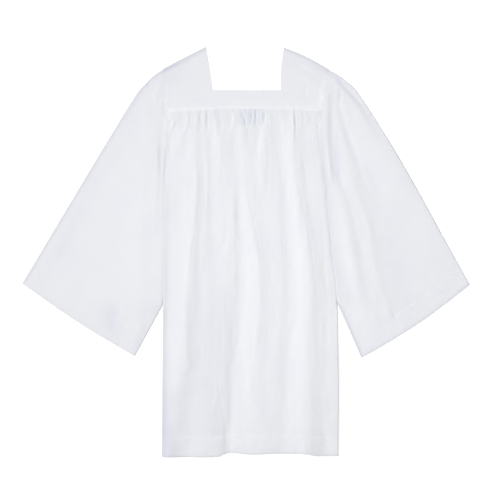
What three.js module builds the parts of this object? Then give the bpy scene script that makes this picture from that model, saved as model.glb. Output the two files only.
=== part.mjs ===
import * as THREE from "three";

// A surplice laid flat on its back, its sleeves swung down beside the body.
// Millimetres. X runs across the shoulders, Y from the hem to the neck, and Z up from
// the surface that it lies on. Widths are given from the middle of the neck and heights
// from the middle of the back, and at the end all is moved by MIDDLE, so that the origin
// is the middle of the outline.

// Cloth
const CLOTH = 1.6;
const SEAM_GAP = 0.3;
const HEM_EXTRA = 0.6;
const BODY_HEM = 43;
const SLEEVE_HEM = 44;
const TURN = CLOTH + SEAM_GAP / 2;
const UPPER_LAYER = CLOTH + SEAM_GAP;
const TUCK_LIFT = 2 * TURN + SEAM_GAP;

// Outline
const LENGTH = 911.7;
const NECK_TOP = 459.4;
const HEM_LOWEST = NECK_TOP - LENGTH;
const ARMPIT = 152;
const SHOULDER = 409.5;
const NECK_FOOT = 363.3;
const YOKE_SEAM = { left: 313, middle: 321, right: 315 };
const NECK = { left: -76, right: 76 };
const NECK_POINTS = { left: [-90.5, NECK_TOP], right: [83, NECK_TOP - 1.1] };
const SHOULDER_BOW = { left: 0.6, right: 3.2 };
const ARMHOLE_BOW = { left: 7, right: -13 };
const BACK_HEM_RISE = 11;

// The two sides of the body, below the armpit.
const SIDES = [
  { y: HEM_LOWEST, left: -188.2, right: 204 },
  { y: -300, left: -187.5, right: 205 },
  { y: -130, left: -186, right: 202 },
  { y: -103, left: -186, right: 199 },
  { y: 75, left: -186, right: 186 },
  { y: ARMPIT, left: -186, right: 181 },
  { y: SHOULDER, left: -187, right: 183 },
];

// How far each stretch of the front hem is drawn up.
const HEM_LINE = [
  { x: -188, rise: 0.3 },
  { x: -90, rise: 0 },
  { x: -62, rise: 0.8 },
  { x: -50, rise: 6 },
  { x: -40, rise: 9.3 },
  { x: -24, rise: 8.7 },
  { x: 4, rise: 5.7 },
  { x: 24, rise: 5.7 },
  { x: 40, rise: 6.9 },
  { x: 118, rise: 7.5 },
  { x: 136, rise: 6.2 },
  { x: 150, rise: 2.3 },
  { x: 180, rise: 1.9 },
  { x: 204, rise: 3 },
];

// The crests and troughs of the front's folds, left to right: where each line lies
// across the panel and how far it stands above the side seams, at each of LEVELS.
const LEVELS = [310, 200, 70, -60, -192, -326, HEM_LOWEST];
const FOLDS = [
  {
    name: "left swell",
    across: [-115, -111, -117, -127, -137, -152, -168],
    rise: [2.5, 4.5, 5.5, 6, 6.5, 6, 4.5],
  },
  {
    name: "left shelf",
    across: [-103, -98, -103, -105, -115, -119, -132],
    rise: [1.2, 2.4, 3.0, 3.4, 4.0, 3.2, 1.4],
  },
  {
    name: "left ripple",
    across: [-91, -88, -94, -90, -90, -92, -98],
    rise: [1.7, 3.0, 3.5, 3.7, 3.7, 3.3, 3.6],
  },
  {
    name: "inner left dip",
    across: [-79, -77, -77, -66, -68, -74, -84],
    rise: [0.9, 1.6, 2.2, 2.6, 2.8, 2.6, 4.2],
  },
  {
    name: "inner left swell",
    across: [-60, -52, -34, -42, -50, -62, -70],
    rise: [2.2, 3.0, 3.2, 3.2, 2.4, 2.2, 3.4],
  },
  {
    name: "middle valley",
    across: [-36, -24, -17, -15, -19, -31, -40],
    rise: [0.7, 0.9, 0.8, 0.6, 0.4, 0.4, 0.4],
  },
  {
    name: "middle ridge",
    across: [-10, 1, 13, 30, 28, 30, 38],
    rise: [2.0, 3.6, 4.6, 6.2, 6.4, 5.4, 3.6],
  },
  {
    name: "right dip",
    across: [26, 14, 40, 55, 53, 45, 52],
    rise: [1.0, 2.6, 3.4, 4.4, 4.9, 4.6, 2.6],
  },
  {
    name: "right ripple",
    across: [42, 42, 72, 77, 71, 60, 64],
    rise: [2.0, 3.4, 4.4, 5.0, 5.4, 4.6, 2.2],
  },
  {
    name: "ridge foot",
    across: [64, 77, 86, 93, 93, 84, 81],
    rise: [0.8, 1.8, 3.0, 3.9, 4.2, 3.4, 1.6],
  },
  {
    name: "right ridge",
    across: [103, 106, 123, 138, 140, 139, 137],
    rise: [3.5, 5.5, 7.5, 9.0, 9.5, 8.5, 6.0],
  },
  {
    name: "right hollow",
    across: [126, 136, 150, 172, 182, 176, 177],
    rise: [1.2, 1.9, 2.4, 2.6, 2.8, 1.8, 0.8],
  },
];
const FRONT_AIR = 0.4;
const SEAM_FOLDS = 0.3;
const SEAM_EASE = 30;

// The sleeves as sections from the cuff to the armhole: where the tube's outer fold
// and its underarm fold lie. Above the crotch the underarm runs beneath the body.
const SLEEVES = {
  left: [
    { name: "cuff", fold: [-498.6, -66.5], under: [-248.4, -228.4] },
    { name: "crotch", fold: [-430.2, 48.5], under: [-187.3, -117] },
    { name: "tuck", fold: [-379.2, 133.5], under: [-164, -43] },
    { name: "upper tuck", fold: [-327.9, 219.4], under: [-168, 10] },
    { name: "underarm", fold: [-275.4, 305.1], under: [-179, 57] },
    { name: "head", fold: [-239.4, 362.8], under: [-187, 95] },
    { name: "shoulder", fold: [-213.3, 390.5], under: [-187.8, 125] },
    { name: "armhole", fold: [-187.3, SHOULDER], under: [-186.3, ARMPIT] },
  ],
  right: [
    { name: "cuff", fold: [496.5, -69.1], under: [255, -231.9] },
    { name: "crotch", fold: [433.6, 44], under: [203.6, -114.2] },
    { name: "tuck", fold: [384.8, 133.7], under: [178, -40] },
    { name: "upper tuck", fold: [335.2, 220.4], under: [174, 12] },
    { name: "underarm", fold: [285.3, 301.7], under: [178, 58] },
    { name: "head", fold: [241.2, 368.3], under: [184, 95] },
    { name: "shoulder", fold: [212.6, 392.6], under: [184, 125] },
    { name: "armhole", fold: [183.3, SHOULDER], under: [181.3, ARMPIT] },
  ],
};

// Folds along the sleeves, from the shoulder end to the cuff end.
const SLEEVE_FOLDS = [
  { name: "right inner", x: [203, 219, 241], y: [200, -14, -170], rise: 2.6, flank: 11 },
  { name: "right middle", x: [238, 257, 286], y: [160, -59, -160], rise: 2.2, flank: 13 },
  { name: "right outer", x: [283, 318, 372], y: [210, 110, -60], rise: 1.4, flank: 24 },
  { name: "left middle", x: [-262, -312, -350], y: [200, 40, -90], rise: 1.2, flank: 46 },
];
const CUFF_BULGE = { left: 5, right: 7.3 };
const SLEEVE_LOFT = 1.2;
const BODY_CLEAR = 20;

// The label, which hangs from the back yoke seam between the two panels.
const LABEL = { x: 12, y: 303, width: 56, height: 34, thickness: 0.5 };
const LABEL_ROOM = LABEL.thickness + SEAM_GAP;
const LABEL_EASE = 16;

// The middle of the outline.
const MIDDLE = {
  x: (SLEEVES.left[0].fold[0] + SLEEVES.right[0].fold[0]) / 2,
  y: (NECK_TOP + HEM_LOWEST) / 2,
};

// How finely each surface is cut up.
const FRONT_STEPS = { across: 48 };
const BACK_STEPS = { across: 24 };
const BODY_ROWS = { belowArmpit: 9, aboveArmpit: 6 };
const BAND_STEPS = 14;
const STRAP_STEPS = { across: 7, down: 4 };
const SLEEVE_STEPS = { upper: 18, lower: 5 };
const TURN_ANGLES = [Math.PI / 4, Math.PI / 2, (3 * Math.PI) / 4];

const linen = () =>
  new THREE.MeshStandardMaterial({ color: 0xeaebf0, roughness: 0.85, metalness: 0 });
const satin = () =>
  new THREE.MeshStandardMaterial({ color: 0xf2f3f6, roughness: 0.5, metalness: 0 });

const mix = THREE.MathUtils.lerp;
const ease = THREE.MathUtils.smoothstep;

// Reads a column of a table between its rows, which are sorted by the key column.
function readTable(rows, key, column, value) {
  const sign = rows.at(-1)[key] > rows[0][key] ? 1 : -1;
  const next = rows.findIndex((row) => sign * row[key] >= sign * value);
  if (next === 0) return rows[0][column];
  if (next < 0) return rows.at(-1)[column];
  const [a, b] = [rows[next - 1], rows[next]];
  return mix(a[column], b[column], (value - a[key]) / (b[key] - a[key]));
}

// The body's edge at a height, bowed in at the armhole.
function bodySide(side, y) {
  const share = THREE.MathUtils.clamp((y - ARMPIT) / (SHOULDER - ARMPIT), 0, 1);
  return readTable(SIDES, "y", side, y) + ARMHOLE_BOW[side] * Math.sin(Math.PI * share);
}

// The seam between yoke and body, which arches up in the middle.
function yokeSeam(share) {
  const ends = mix(YOKE_SEAM.left, YOKE_SEAM.right, share);
  const middle = YOKE_SEAM.middle - (YOKE_SEAM.left + YOKE_SEAM.right) / 2;
  return ends + middle * Math.sin(Math.PI * share);
}

// How far the back panel is lifted by the sleeves' underarms tucked beneath it.
function tuckLift(x, y) {
  const SLOPE = 0.6;
  const MARGIN = 12;
  const RAMP = 55;
  const lifts = Object.entries(SLEEVES).map(([side, sections]) => {
    const tuck = sections.slice(sections.findIndex(({ name }) => name === "crotch"));
    const rows = tuck.map(({ under }) => ({ x: under[0], y: under[1] }));
    const outward = side === "left" ? -1 : 1;
    const beyond = Math.max(rows[0].y - y, y - rows.at(-1).y, 0);
    const edge = readTable(rows, "y", "x", y) + outward * beyond * SLOPE;
    const inside = -outward * (x - edge);
    return TUCK_LIFT * (1 - ease(inside, MARGIN, MARGIN + RAMP));
  });
  return Math.max(...lifts);
}

// How far the front stands up at a point: smoothly from each crease line to the next,
// and down to nothing at its side seams, but clear of the label.
function frontRise(x, y) {
  const rows = FOLDS.map(({ across, rise }) => {
    const levels = LEVELS.map((level, i) => ({ level, x: across[i], rise: rise[i] }));
    const read = (column) => readTable(levels, "level", column, y);
    return { x: read("x"), rise: FRONT_AIR + read("rise") };
  });
  const lines = [
    { x: bodySide("left", y), rise: 0 },
    ...rows,
    { x: bodySide("right", y), rise: 0 },
  ];
  const next = Math.max(1, lines.findIndex((line) => line.x >= x));
  const [a, b] = [lines[next - 1], lines[next]];
  const folds = mix(a.rise, b.rise, ease(x, a.x, b.x));
  const belowSeam = mix(SEAM_FOLDS, 1, ease(YOKE_SEAM.middle - y, 0, SEAM_EASE));
  const overX = Math.abs(x - LABEL.x) - LABEL.width / 2 - SEAM_GAP;
  const overY = Math.abs(y - LABEL.y) - LABEL.height / 2 - SEAM_GAP;
  const room = LABEL_ROOM * (1 - ease(Math.max(overX, overY), LABEL_EASE / 2, LABEL_EASE));
  return Math.max(folds * belowSeam, room);
}

// The height of the sleeves' own folds at a point, and none where the body lies close.
function sleeveRise(side, x, y, share) {
  const outward = side === "left" ? -1 : 1;
  const clear = outward * (x - bodySide(side, y));
  const folds = SLEEVE_FOLDS.filter(({ name }) => name.startsWith(side));
  const height = folds.reduce((sum, fold) => {
    const rows = fold.y.map((level, i) => ({ level, x: fold.x[i] }));
    const offset = x - readTable(rows, "level", "x", y);
    const past = Math.max(y - fold.y[0], fold.y.at(-1) - y, 0);
    const fade = Math.exp(-((past / (2 * fold.flank)) ** 2));
    return sum + fold.rise * fade * Math.exp(-((offset / fold.flank) ** 2));
  }, SLEEVE_LOFT);
  const edges = Math.sin(Math.PI * share) ** 0.5;
  return height * edges * ease(clear, BODY_CLEAR, 2.5 * BODY_CLEAR);
}

// A wall of cloth as one closed mesh. Each row is a list of pairs of points, one on the
// cloth's face and one on its back. A closed wall's rows run all round.
function clothMesh(name, material, rows, closed) {
  const count = rows[0].length;
  const last = rows.length - 1;
  const corners = rows.flat().flatMap(({ face, back }) => [face, back]);
  const [FACE, BACK] = [0, 1];
  const at = (row, column, side) => 2 * (row * count + (column % count)) + side;
  const index = [];
  const quad = (a, b, c, d) => index.push(a, b, c, a, c, d);
  const steps = closed ? count : count - 1;
  for (let c = 0; c < steps; c += 1) {
    for (let r = 0; r < last; r += 1) {
      quad(at(r, c, FACE), at(r, c + 1, FACE), at(r + 1, c + 1, FACE), at(r + 1, c, FACE));
      quad(at(r, c, BACK), at(r + 1, c, BACK), at(r + 1, c + 1, BACK), at(r, c + 1, BACK));
    }
    quad(at(0, c, FACE), at(0, c, BACK), at(0, c + 1, BACK), at(0, c + 1, FACE));
    quad(at(last, c, FACE), at(last, c + 1, FACE), at(last, c + 1, BACK), at(last, c, BACK));
  }
  for (let r = 0; r < last && !closed; r += 1) {
    const e = count - 1;
    quad(at(r, 0, FACE), at(r + 1, 0, FACE), at(r + 1, 0, BACK), at(r, 0, BACK));
    quad(at(r, e, FACE), at(r, e, BACK), at(r + 1, e, BACK), at(r + 1, e, FACE));
  }
  const geometry = new THREE.BufferGeometry().setFromPoints(corners);
  geometry.translate(-MIDDLE.x, -MIDDLE.y, 0);
  geometry.setIndex(index);
  geometry.computeVertexNormals();
  const mesh = new THREE.Mesh(geometry, material);
  mesh.name = name;
  return mesh;
}

// A point on the cloth's face, and the one straight under it.
function pair(x, y, underside, thickness) {
  return {
    face: new THREE.Vector3(x, y, underside + thickness),
    back: new THREE.Vector3(x, y, underside),
  };
}

// A body panel in rows from its hem, which is thicker, up to the yoke.
function bodyPanel(name, steps, hemRise, underside) {
  const STEP = 0.5;
  const { belowArmpit, aboveArmpit } = BODY_ROWS;
  const hemTop = HEM_LOWEST + BODY_HEM;
  const inHem = [0, 0.5, 1].map((up) => (x) => mix(HEM_LOWEST + hemRise(x), hemTop, up));
  const below = Array.from({ length: belowArmpit }, (_, i) => () =>
    mix(hemTop + STEP, ARMPIT, i / belowArmpit),
  );
  const above = Array.from({ length: aboveArmpit + 1 }, (_, i) => (x, share) =>
    mix(ARMPIT, yokeSeam(share) - SEAM_GAP, i / aboveArmpit),
  );
  const rows = [...inHem, ...below, ...above].map((height, row) =>
    Array.from({ length: steps.across + 1 }, (_, i) => {
      const share = i / steps.across;
      const y = height(mix(SIDES[0].left, SIDES[0].right, share), share);
      const x = mix(bodySide("left", y), bodySide("right", y), share);
      const hem = row < inHem.length ? HEM_EXTRA : 0;
      return pair(x, y, underside(x, y), CLOTH + hem);
    }),
  );
  return clothMesh(name, linen(), rows, false);
}

function bodyBack() {
  return bodyPanel("body_back", BACK_STEPS, () => BACK_HEM_RISE, tuckLift);
}

function bodyFront() {
  const line = (x) => readTable(HEM_LINE, "x", "rise", x);
  const overBack = (x, y) => {
    const nearHem = 1 - ease(y, HEM_LOWEST + BODY_HEM, HEM_LOWEST + 2 * BODY_HEM);
    return tuckLift(x, y) + UPPER_LAYER + HEM_EXTRA * nearHem + frontRise(x, y);
  };
  return bodyPanel("body_front", FRONT_STEPS, line, overBack);
}

// A strip of the yoke between the armholes, thicker at its lapped lower edge.
function yokeBand(name, underside, lap) {
  const LIP = 5;
  const heights = [
    { up: 0, extra: lap },
    { up: LIP, extra: lap },
    { up: LIP + 1, extra: 0 },
    { up: (NECK_FOOT - YOKE_SEAM.middle) / 2, extra: 0 },
    { up: NECK_FOOT, extra: 0 },
  ];
  const rows = heights.map(({ up, extra }) =>
    Array.from({ length: BAND_STEPS + 1 }, (_, i) => {
      const share = i / BAND_STEPS;
      const y = Math.min(yokeSeam(share) + up, NECK_FOOT);
      const x = mix(bodySide("left", y), bodySide("right", y), share);
      return pair(x, y, underside, CLOTH + extra);
    }),
  );
  return clothMesh(name, linen(), rows, false);
}

// A shoulder piece: up the front, over the shoulder line and down the back. The
// shoulder line is bowed upwards.
function strap(name, foot, top, bow) {
  const rows = Array.from({ length: STRAP_STEPS.across + 1 }, (_, i) => {
    const share = 1 - i / STRAP_STEPS.across;
    const low = foot[0].clone().lerp(foot[1], share);
    const high = top[0].clone().lerp(top[1], share);
    high.y += bow * Math.sin(Math.PI * share);
    const reach = low.distanceTo(high);
    const place = (distance, z) => {
      const spot = low.clone().lerp(high, distance / reach);
      return new THREE.Vector3(spot.x, spot.y, z);
    };
    const upper = Array.from({ length: STRAP_STEPS.down + 1 }, (_, j) => {
      const distance = ((reach - TURN) * j) / STRAP_STEPS.down;
      return { face: place(distance, 2 * TURN), back: place(distance, UPPER_LAYER) };
    });
    const lower = upper.map(({ face }) => ({
      face: new THREE.Vector3(face.x, face.y, 0),
      back: new THREE.Vector3(face.x, face.y, CLOTH),
    }));
    const turned = TURN_ANGLES.map((angle) => {
      const arc = (radius) =>
        place(reach - TURN + radius * Math.sin(angle), TURN + radius * Math.cos(angle));
      return { face: arc(TURN), back: arc(TURN - CLOTH) };
    });
    return [...upper, ...turned, ...lower.reverse()];
  });
  return clothMesh(name, linen(), rows, false);
}

function straps() {
  const point = (x, y) => new THREE.Vector2(x, y);
  const low = NECK_FOOT + SEAM_GAP;
  const left = strap(
    "strap_left",
    [point(bodySide("left", low), low), point(NECK.left, low)],
    [point(bodySide("left", SHOULDER), SHOULDER), point(...NECK_POINTS.left)],
    SHOULDER_BOW.left,
  );
  const right = strap(
    "strap_right",
    [point(NECK.right, low), point(bodySide("right", low), low)],
    [point(...NECK_POINTS.right), point(bodySide("right", SHOULDER), SHOULDER)],
    SHOULDER_BOW.right,
  );
  return [left, right];
}

// A sleeve's sections with its folds as vectors, and one more on each side of the line
// where its hem ends. Each also has the two directions into the tube from its folds.
function sleeveSections(side) {
  const STEP = 1;
  const given = SLEEVES[side].map(({ name, fold, under }) => ({
    name,
    ends: [fold, under].map(([x, y]) => new THREE.Vector2(x, y)),
    hem: name === "cuff" ? HEM_EXTRA : 0,
    bulge: name === "cuff" ? CUFF_BULGE[side] : 0,
  }));
  const [cuff, crotch] = given;
  const reach = cuff.ends[0].distanceTo(crotch.ends[0]);
  const hemEnds = [HEM_EXTRA, 0].map((hem, i) => ({
    name: "hem end",
    ends: cuff.ends.map((end, j) =>
      end.clone().lerp(crotch.ends[j], (SLEEVE_HEM + i * STEP) / reach),
    ),
    hem,
    bulge: CUFF_BULGE[side],
  }));
  const sections = [cuff, ...hemEnds, ...given.slice(1)];
  return sections.map((section, i) => {
    const before = sections[Math.max(i - 1, 0)].ends;
    const after = sections[Math.min(i + 1, sections.length - 1)].ends;
    const inward = section.ends.map((end, j) => {
      const across = section.ends[1 - j].clone().sub(end).normalize();
      if (section.name === "armhole") return across;
      const along = after[j].clone().sub(before[j]).normalize();
      const square = new THREE.Vector2(along.y, -along.x);
      return square.multiplyScalar(Math.sign(square.dot(across)));
    });
    return { ...section, inward };
  });
}

// One section of a sleeve: the flattened loop of cloth between its two folds.
function sleeveRing(side, { ends, inward, hem, bulge }, bow) {
  const order = side === "left" ? [0, 1] : [1, 0];
  const [from, to] = order.map((i) => ends[i]);
  const [afterFrom, beforeTo] = order.map((i) => inward[i]);
  const span = from.distanceTo(to);
  const outOfCuff = new THREE.Vector2(to.y - from.y, from.x - to.x).divideScalar(span);
  const flatSpot = (distance) => {
    const start = from.clone().addScaledVector(afterFrom, Math.min(distance, TURN));
    const end = to.clone().addScaledVector(beforeTo, Math.min(span - distance, TURN));
    const share = (distance - TURN) / (span - 2 * TURN);
    return start.lerp(end, THREE.MathUtils.clamp(share, 0, 1));
  };
  const place = (distance, z) => {
    const spot = flatSpot(distance);
    spot.addScaledVector(outOfCuff, bulge * Math.sin((Math.PI * distance) / span));
    const heightShare = (spot.y - ARMPIT) / (SHOULDER - ARMPIT);
    const shift = bow * Math.sin(Math.PI * THREE.MathUtils.clamp(heightShare, 0, 1));
    return new THREE.Vector3(spot.x + shift, spot.y, z);
  };
  const layer = (steps, make) =>
    Array.from({ length: steps + 1 }, (_, i) => {
      const share = i / steps;
      return make(TURN + (span - 2 * TURN) * share, share);
    });
  const upper = layer(SLEEVE_STEPS.upper, (distance, share) => {
    const { x, y } = place(distance, 0);
    const height = 2 * TURN + sleeveRise(side, x, y, share);
    return { face: place(distance, height + hem), back: place(distance, height - CLOTH) };
  });
  const lower = layer(SLEEVE_STEPS.lower, (distance) => ({
    face: place(distance, 0),
    back: place(distance, CLOTH),
  }));
  const turned = (atStart) =>
    TURN_ANGLES.map((angle) => {
      const arc = (radius) => {
        const out = TURN - radius * Math.sin(angle);
        return place(atStart ? out : span - out, TURN + radius * Math.cos(angle));
      };
      return { face: arc(TURN), back: arc(TURN - CLOTH) };
    });
  return [...upper, ...turned(false), ...lower.reverse(), ...turned(true).reverse()];
}

function sleeve(side) {
  const BOW_SHARE = { armhole: 1, shoulder: 0.55, head: 0.25 };
  const rings = sleeveSections(side).map((section) =>
    sleeveRing(side, section, ARMHOLE_BOW[side] * (BOW_SHARE[section.name] ?? 0)),
  );
  return clothMesh(`sleeve_${side}`, linen(), rings, true);
}

function label() {
  const rows = [-1, 1].map((down) =>
    [-1, 1].map((across) => {
      const x = LABEL.x + (across * LABEL.width) / 2;
      const y = LABEL.y + (down * LABEL.height) / 2;
      return pair(x, y, UPPER_LAYER, LABEL.thickness);
    }),
  );
  return clothMesh("label", satin(), rows, false);
}

const surplice = new THREE.Group();
surplice.add(bodyBack(), bodyFront());
surplice.add(yokeBand("yoke_band_back", 0, 0));
surplice.add(yokeBand("yoke_band_front", UPPER_LAYER, HEM_EXTRA));
surplice.add(...straps());
surplice.add(sleeve("left"), sleeve("right"));
surplice.add(label());

export default surplice;
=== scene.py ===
"""The looks of the surplice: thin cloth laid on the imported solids, and the scene round it.

Shapes are worked out in millimetres and go into Blender in metres. X runs across the
shoulders, Y from the hem to the neck, and Z up. As in the solids' own source, widths are
given from the middle of the neck and heights from the middle of the back, and MIDDLE is
where the frame's origin lies among them. The left side is the one with the lower X.
"""

import math

import bpy
import numpy as np
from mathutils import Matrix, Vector
from mathutils.bvhtree import BVHTree


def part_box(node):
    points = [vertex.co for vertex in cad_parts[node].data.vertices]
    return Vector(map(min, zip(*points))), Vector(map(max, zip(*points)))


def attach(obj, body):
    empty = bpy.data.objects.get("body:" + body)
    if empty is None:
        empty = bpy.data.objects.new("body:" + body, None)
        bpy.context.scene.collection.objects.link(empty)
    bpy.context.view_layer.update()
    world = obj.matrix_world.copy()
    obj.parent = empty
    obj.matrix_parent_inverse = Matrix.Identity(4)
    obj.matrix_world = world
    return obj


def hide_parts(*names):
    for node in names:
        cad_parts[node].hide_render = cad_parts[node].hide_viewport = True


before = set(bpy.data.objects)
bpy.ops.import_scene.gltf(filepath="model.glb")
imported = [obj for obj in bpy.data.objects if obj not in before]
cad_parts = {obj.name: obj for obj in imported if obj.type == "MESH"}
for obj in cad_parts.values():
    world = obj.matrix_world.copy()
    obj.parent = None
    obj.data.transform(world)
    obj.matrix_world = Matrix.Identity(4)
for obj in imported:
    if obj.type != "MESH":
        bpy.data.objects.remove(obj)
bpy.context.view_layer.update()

MM = 0.001

# Sizes that the solids have.
LENGTH = 911.7
NECK_TOP = 459.4
HEM_LOWEST = NECK_TOP - LENGTH
MIDDLE = np.array([-1.05, (NECK_TOP + HEM_LOWEST) / 2])
ARMPIT = 152
SHOULDER = 409.5
NECK_FOOT = 363.3
YOKE_SEAM = {"left": 313, "middle": 321, "right": 315}
NECK = {"left": -76, "right": 76}
NECK_POINTS = {"left": (-90.5, NECK_TOP), "right": (83, NECK_TOP - 1.1)}
NECK_BOW = {"left": 1.2, "right": 3.2}
SHOULDER_BOW = {"left": 0.6, "right": 3.2}
ARMHOLE_BOW = {"left": 7, "right": -13}
BACK_HEM_RISE = 11
SEAM_GAP = 0.3
BODY_HEM = 43
SLEEVE_HEM = 44
SIDES = {
    "y": [HEM_LOWEST, -300, -130, -103, -60, 0, 75, 125, ARMPIT, SHOULDER],
    "left": [-188.2, -187.5, -186, -186, -186, -186, -186, -186, -186, -187],
    "right": [204, 205, 203, 202, 199.5, 191, 184.5, 180, 180, 183],
}
HEM_LINE = {
    "x": [-188, -90, -62, -50, -40, -24, 4, 24, 40, 118, 136, 150, 180, 204],
    "rise": [0.6, 0.6, 1.4, 6.5, 9.8, 9.2, 6.2, 6.4, 7.9, 8.7, 7.2, 2.9, 2.5, 3.2],
}
SLEEVES = {
    "left": {
        "fold": [(-498.6, -66.5), (-430.2, 48.5), (-379.2, 133.5), (-327.9, 219.4),
                 (-275.4, 305.1), (-239.4, 362.8), (-213.3, 390.5), (-187.3, SHOULDER)],
        "under": [(-248.4, -228.4), (-187.3, -117), (-164, -43), (-168, 10),
                  (-174, 57), (-178, 95), (-181, 125), (-183, ARMPIT)],
        "bulge": 5,
    },
    "right": {
        "fold": [(496.5, -69.1), (433.6, 44), (384.8, 133.7), (335.2, 220.4),
                 (285.3, 301.7), (241.2, 368.3), (212.6, 392.6), (183.3, SHOULDER)],
        "under": [(255, -231.9), (203.6, -114.2), (178, -40), (172, 12),
                  (172, 58), (172, 95), (172, 125), (175, ARMPIT)],
        "bulge": 7.3,
    },
}
OUTWARD = {"left": -1, "right": 1}

# The cloth: how thick it is, how far it lies off the floor, how far a piece laps over the
# next at a seam and in how many rows of points, and how tightly it folds over on itself.
CLOTH = 0.5
LIE = 0.1
LAP = 3.0
LAP_ROWS = 3
FOLD_RADIUS = 2.4
SHARP_ANGLE = math.radians(55)

# The stitches, and how far below a hem's upper line or above the yoke's foot they run. Each
# is a string of rings: where along it, as a share of its length, and how thick.
STITCH = {"pitch": 3.0, "length": 2.3, "width": 0.5, "flatness": 0.7, "sides": 6}
STITCH_RINGS = [(-0.5, 0.15), (-0.32, 0.85), (0.0, 1.0), (0.32, 0.85), (0.5, 0.15)]
STITCH_INSET = 1.5
YOKE_STITCH_INSET = 2.2
STITCH_POINTS = 60

# How the solids' heights are read: how far inside a panel's sides and ends, over how many
# columns and rows they are averaged, and from how far away a ray is sent, in metres.
READ_INSIDE = {"sides": 2, "ends": 1.5}
AVERAGED_COLUMNS = 1.6
AVERAGED_ROWS = {"front": 5, "back": 4}
FAR = 1.0

# How high the outer cloth lies: the sleeves and their folds, the yoke and its shoulders, and
# the crest of the seam that the front hangs from, with where below the seam it comes down.
SLEEVE_LEVEL = 3.5
SLEEVE_FOLDS = 1.7
YOKE_HEIGHT = 3.5
SHOULDER_HEIGHT = 3.3
SEAM_CREST = 6.3
CREST_FALLS = (2, 40)

# The yoke's strip over the gathers: how far above them it starts, how soon it comes down to
# its own height, the soft puff along its foot, and where it is painted lighter just above its
# foot: painted light on the crest of the seam, partly the seam allowances folded under it.
BAND = {"above": 0.04, "ramp": 13}
PUFF = {"height": 0.12, "at": 4.5, "reach": 3.6}
TURNINGS_AND_PAINTED_LIGHT = {"at": 2, "reach": 7}

# A shoulder piece: about how wide it is, and how much lower it lies than its fold.
SHOULDER_WIDTH = 100
SHOULDER_DIP = 0.1

# How high the armhole seams lie, and from where to where the sleeves fall away from them.
# The left sleeve lies over the body there, and the right one under it, by a small step.
ARMHOLES = {
    "y": [152, 175, 205, 240, 276, 310, 345, 362, 388],
    "left": [7.0, 6.2, 5.5, 4.9, 4.3, 3.8, 3.5, 3.3, 3.3],
    "right": [7.0, 6.0, 5.0, 4.7, 5.6, 5.6, 5.0, 4.5, 3.3],
}
ARMHOLE_SHELF = {"left": (0, 12), "right": (9, 23)}
ARMHOLE_STEP = 0.1

# Where the armhole seams start, how soon the cloth beside them has its own height, and how
# much of their bow a sleeve follows, by its share of the way from the cuff.
SEWN_FROM = (ARMPIT - 14, ARMPIT + 10)
ARMHOLE_EASE = 14
BOW_FOLLOWED = {"share": [0, 0.83, 0.9, 0.955, 1], "bow": [0, 0, 0.25, 0.55, 1]}

# How high the sleeves are pushed up where they lie against the body's sides, and how far
# out they come down again. Below FREE_SIDES the body's sides are clear of the sleeves.
BESIDE_BODY = {
    "y": [-130, -118, -105, -90, -50, 0, 60, 120, 150, 175, 200, 260, 345],
    "left": [3.5, 5.0, 6.4, 7.2, 7.7, 7.6, 7.5, 7.6, 6.9, 5.8, 4.7, 3.8, 3.5],
    "right": [3.5, 4.5, 6.0, 7.4, 8.6, 8.6, 8.1, 7.4, 6.9, 4.8, 3.6, 3.5, 3.5],
}
BESIDE_REACH = {"left": 75, "right": 120}
FREE_SIDES = (-128, -108)

# The upper line of a turned hem: how high its step is and how soft, and how deep and wide
# the groove is that the stitches draw in. The puckers of the hem end so far above that line,
# and fade out over the given width.
HEM_STEP = {"height": 0.35, "soft": 0.8, "groove": 0.15, "groove width": 1.5}
HEMS = {
    "front hem": {"depth": BODY_HEM, "puckers end": 15, "fade": 18},
    "cuff": {"depth": SLEEVE_HEM, "puckers end": 14, "fade": 12},
}

# How much of the front hem's upper line shows, left to right, and of each cuff's line from
# the outer fold to the underarm. Below 0 the pressed hem lies lower than the cloth.
HEM_SHOWS = {
    "x": [-188, -150, -140, -66, -56, -40, 40, 60, 110, 130, 204],
    "share": [0.2, 0.2, 1.0, 1.0, 0.3, 0.5, 0.5, 0.3, 0.6, 0.2, 0.2],
}
CUFF_SHOWS = {
    "left": {"share": [0, 0.1, 0.15, 0.42, 0.5, 0.8, 0.86, 1],
             "shows": [-0.2, -0.8, -0.9, -0.8, -0.1, -0.1, -0.9, -0.6]},
    "right": {"share": [0, 0.1, 0.14, 0.2, 0.38, 0.44, 0.6, 0.66, 0.84, 0.9, 1],
              "shows": [0.2, 0.2, 0.6, 0.15, 0.15, 1.0, 1.0, 0.2, 0.2, 0.6, 0.3]},
}

# How far the cloth drops at its rolled edges, and how far inwards: (drop, radius).
ROLLS = {
    "hem": (0.8, 1.2),
    "neck": (0.8, 1.4),
    "shoulder seam": (0.1, 1.4),
    "yoke end": (0.15, 1.0),
    "neck side": (0.2, 1.4),
    "sleeve head": (0.1, 1.0),
    "cuff": (0.6, 1.4),
}

# The front: how far its lap lies under the yoke, and how its sides come down. Free sides
# come down to just above the back, but by no more than the most given. Beside the sleeves
# they end just under the sleeves' tops, and where they are sewn they hardly drop.
FRONT_LAP = 0.45
FRONT_SIDES = {"most": 1.5, "above back": 0.1, "under sleeve": 0.3, "sewn": 0.15}
FRONT_SIDE_WIDTHS = {"free": 3.0, "beside sleeve": 4}
FRONT_SEWN_FROM = (ARMPIT - 14, ARMPIT + 6)

# The back, which the garment lies on: how far its cloth is off its solid, how much of the
# front's folds and gathers it has, from where inwards, and its hem's groove, deep and wide.
BACK = {"off": 0.35, "folds": 0.3, "gathers": 0.4, "inland": 18, "gathers from": 6}
BACK_YOKE_OFF = 0.2
BACK_GROOVE = {"depth": 0.25, "width": 1.6}

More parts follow.
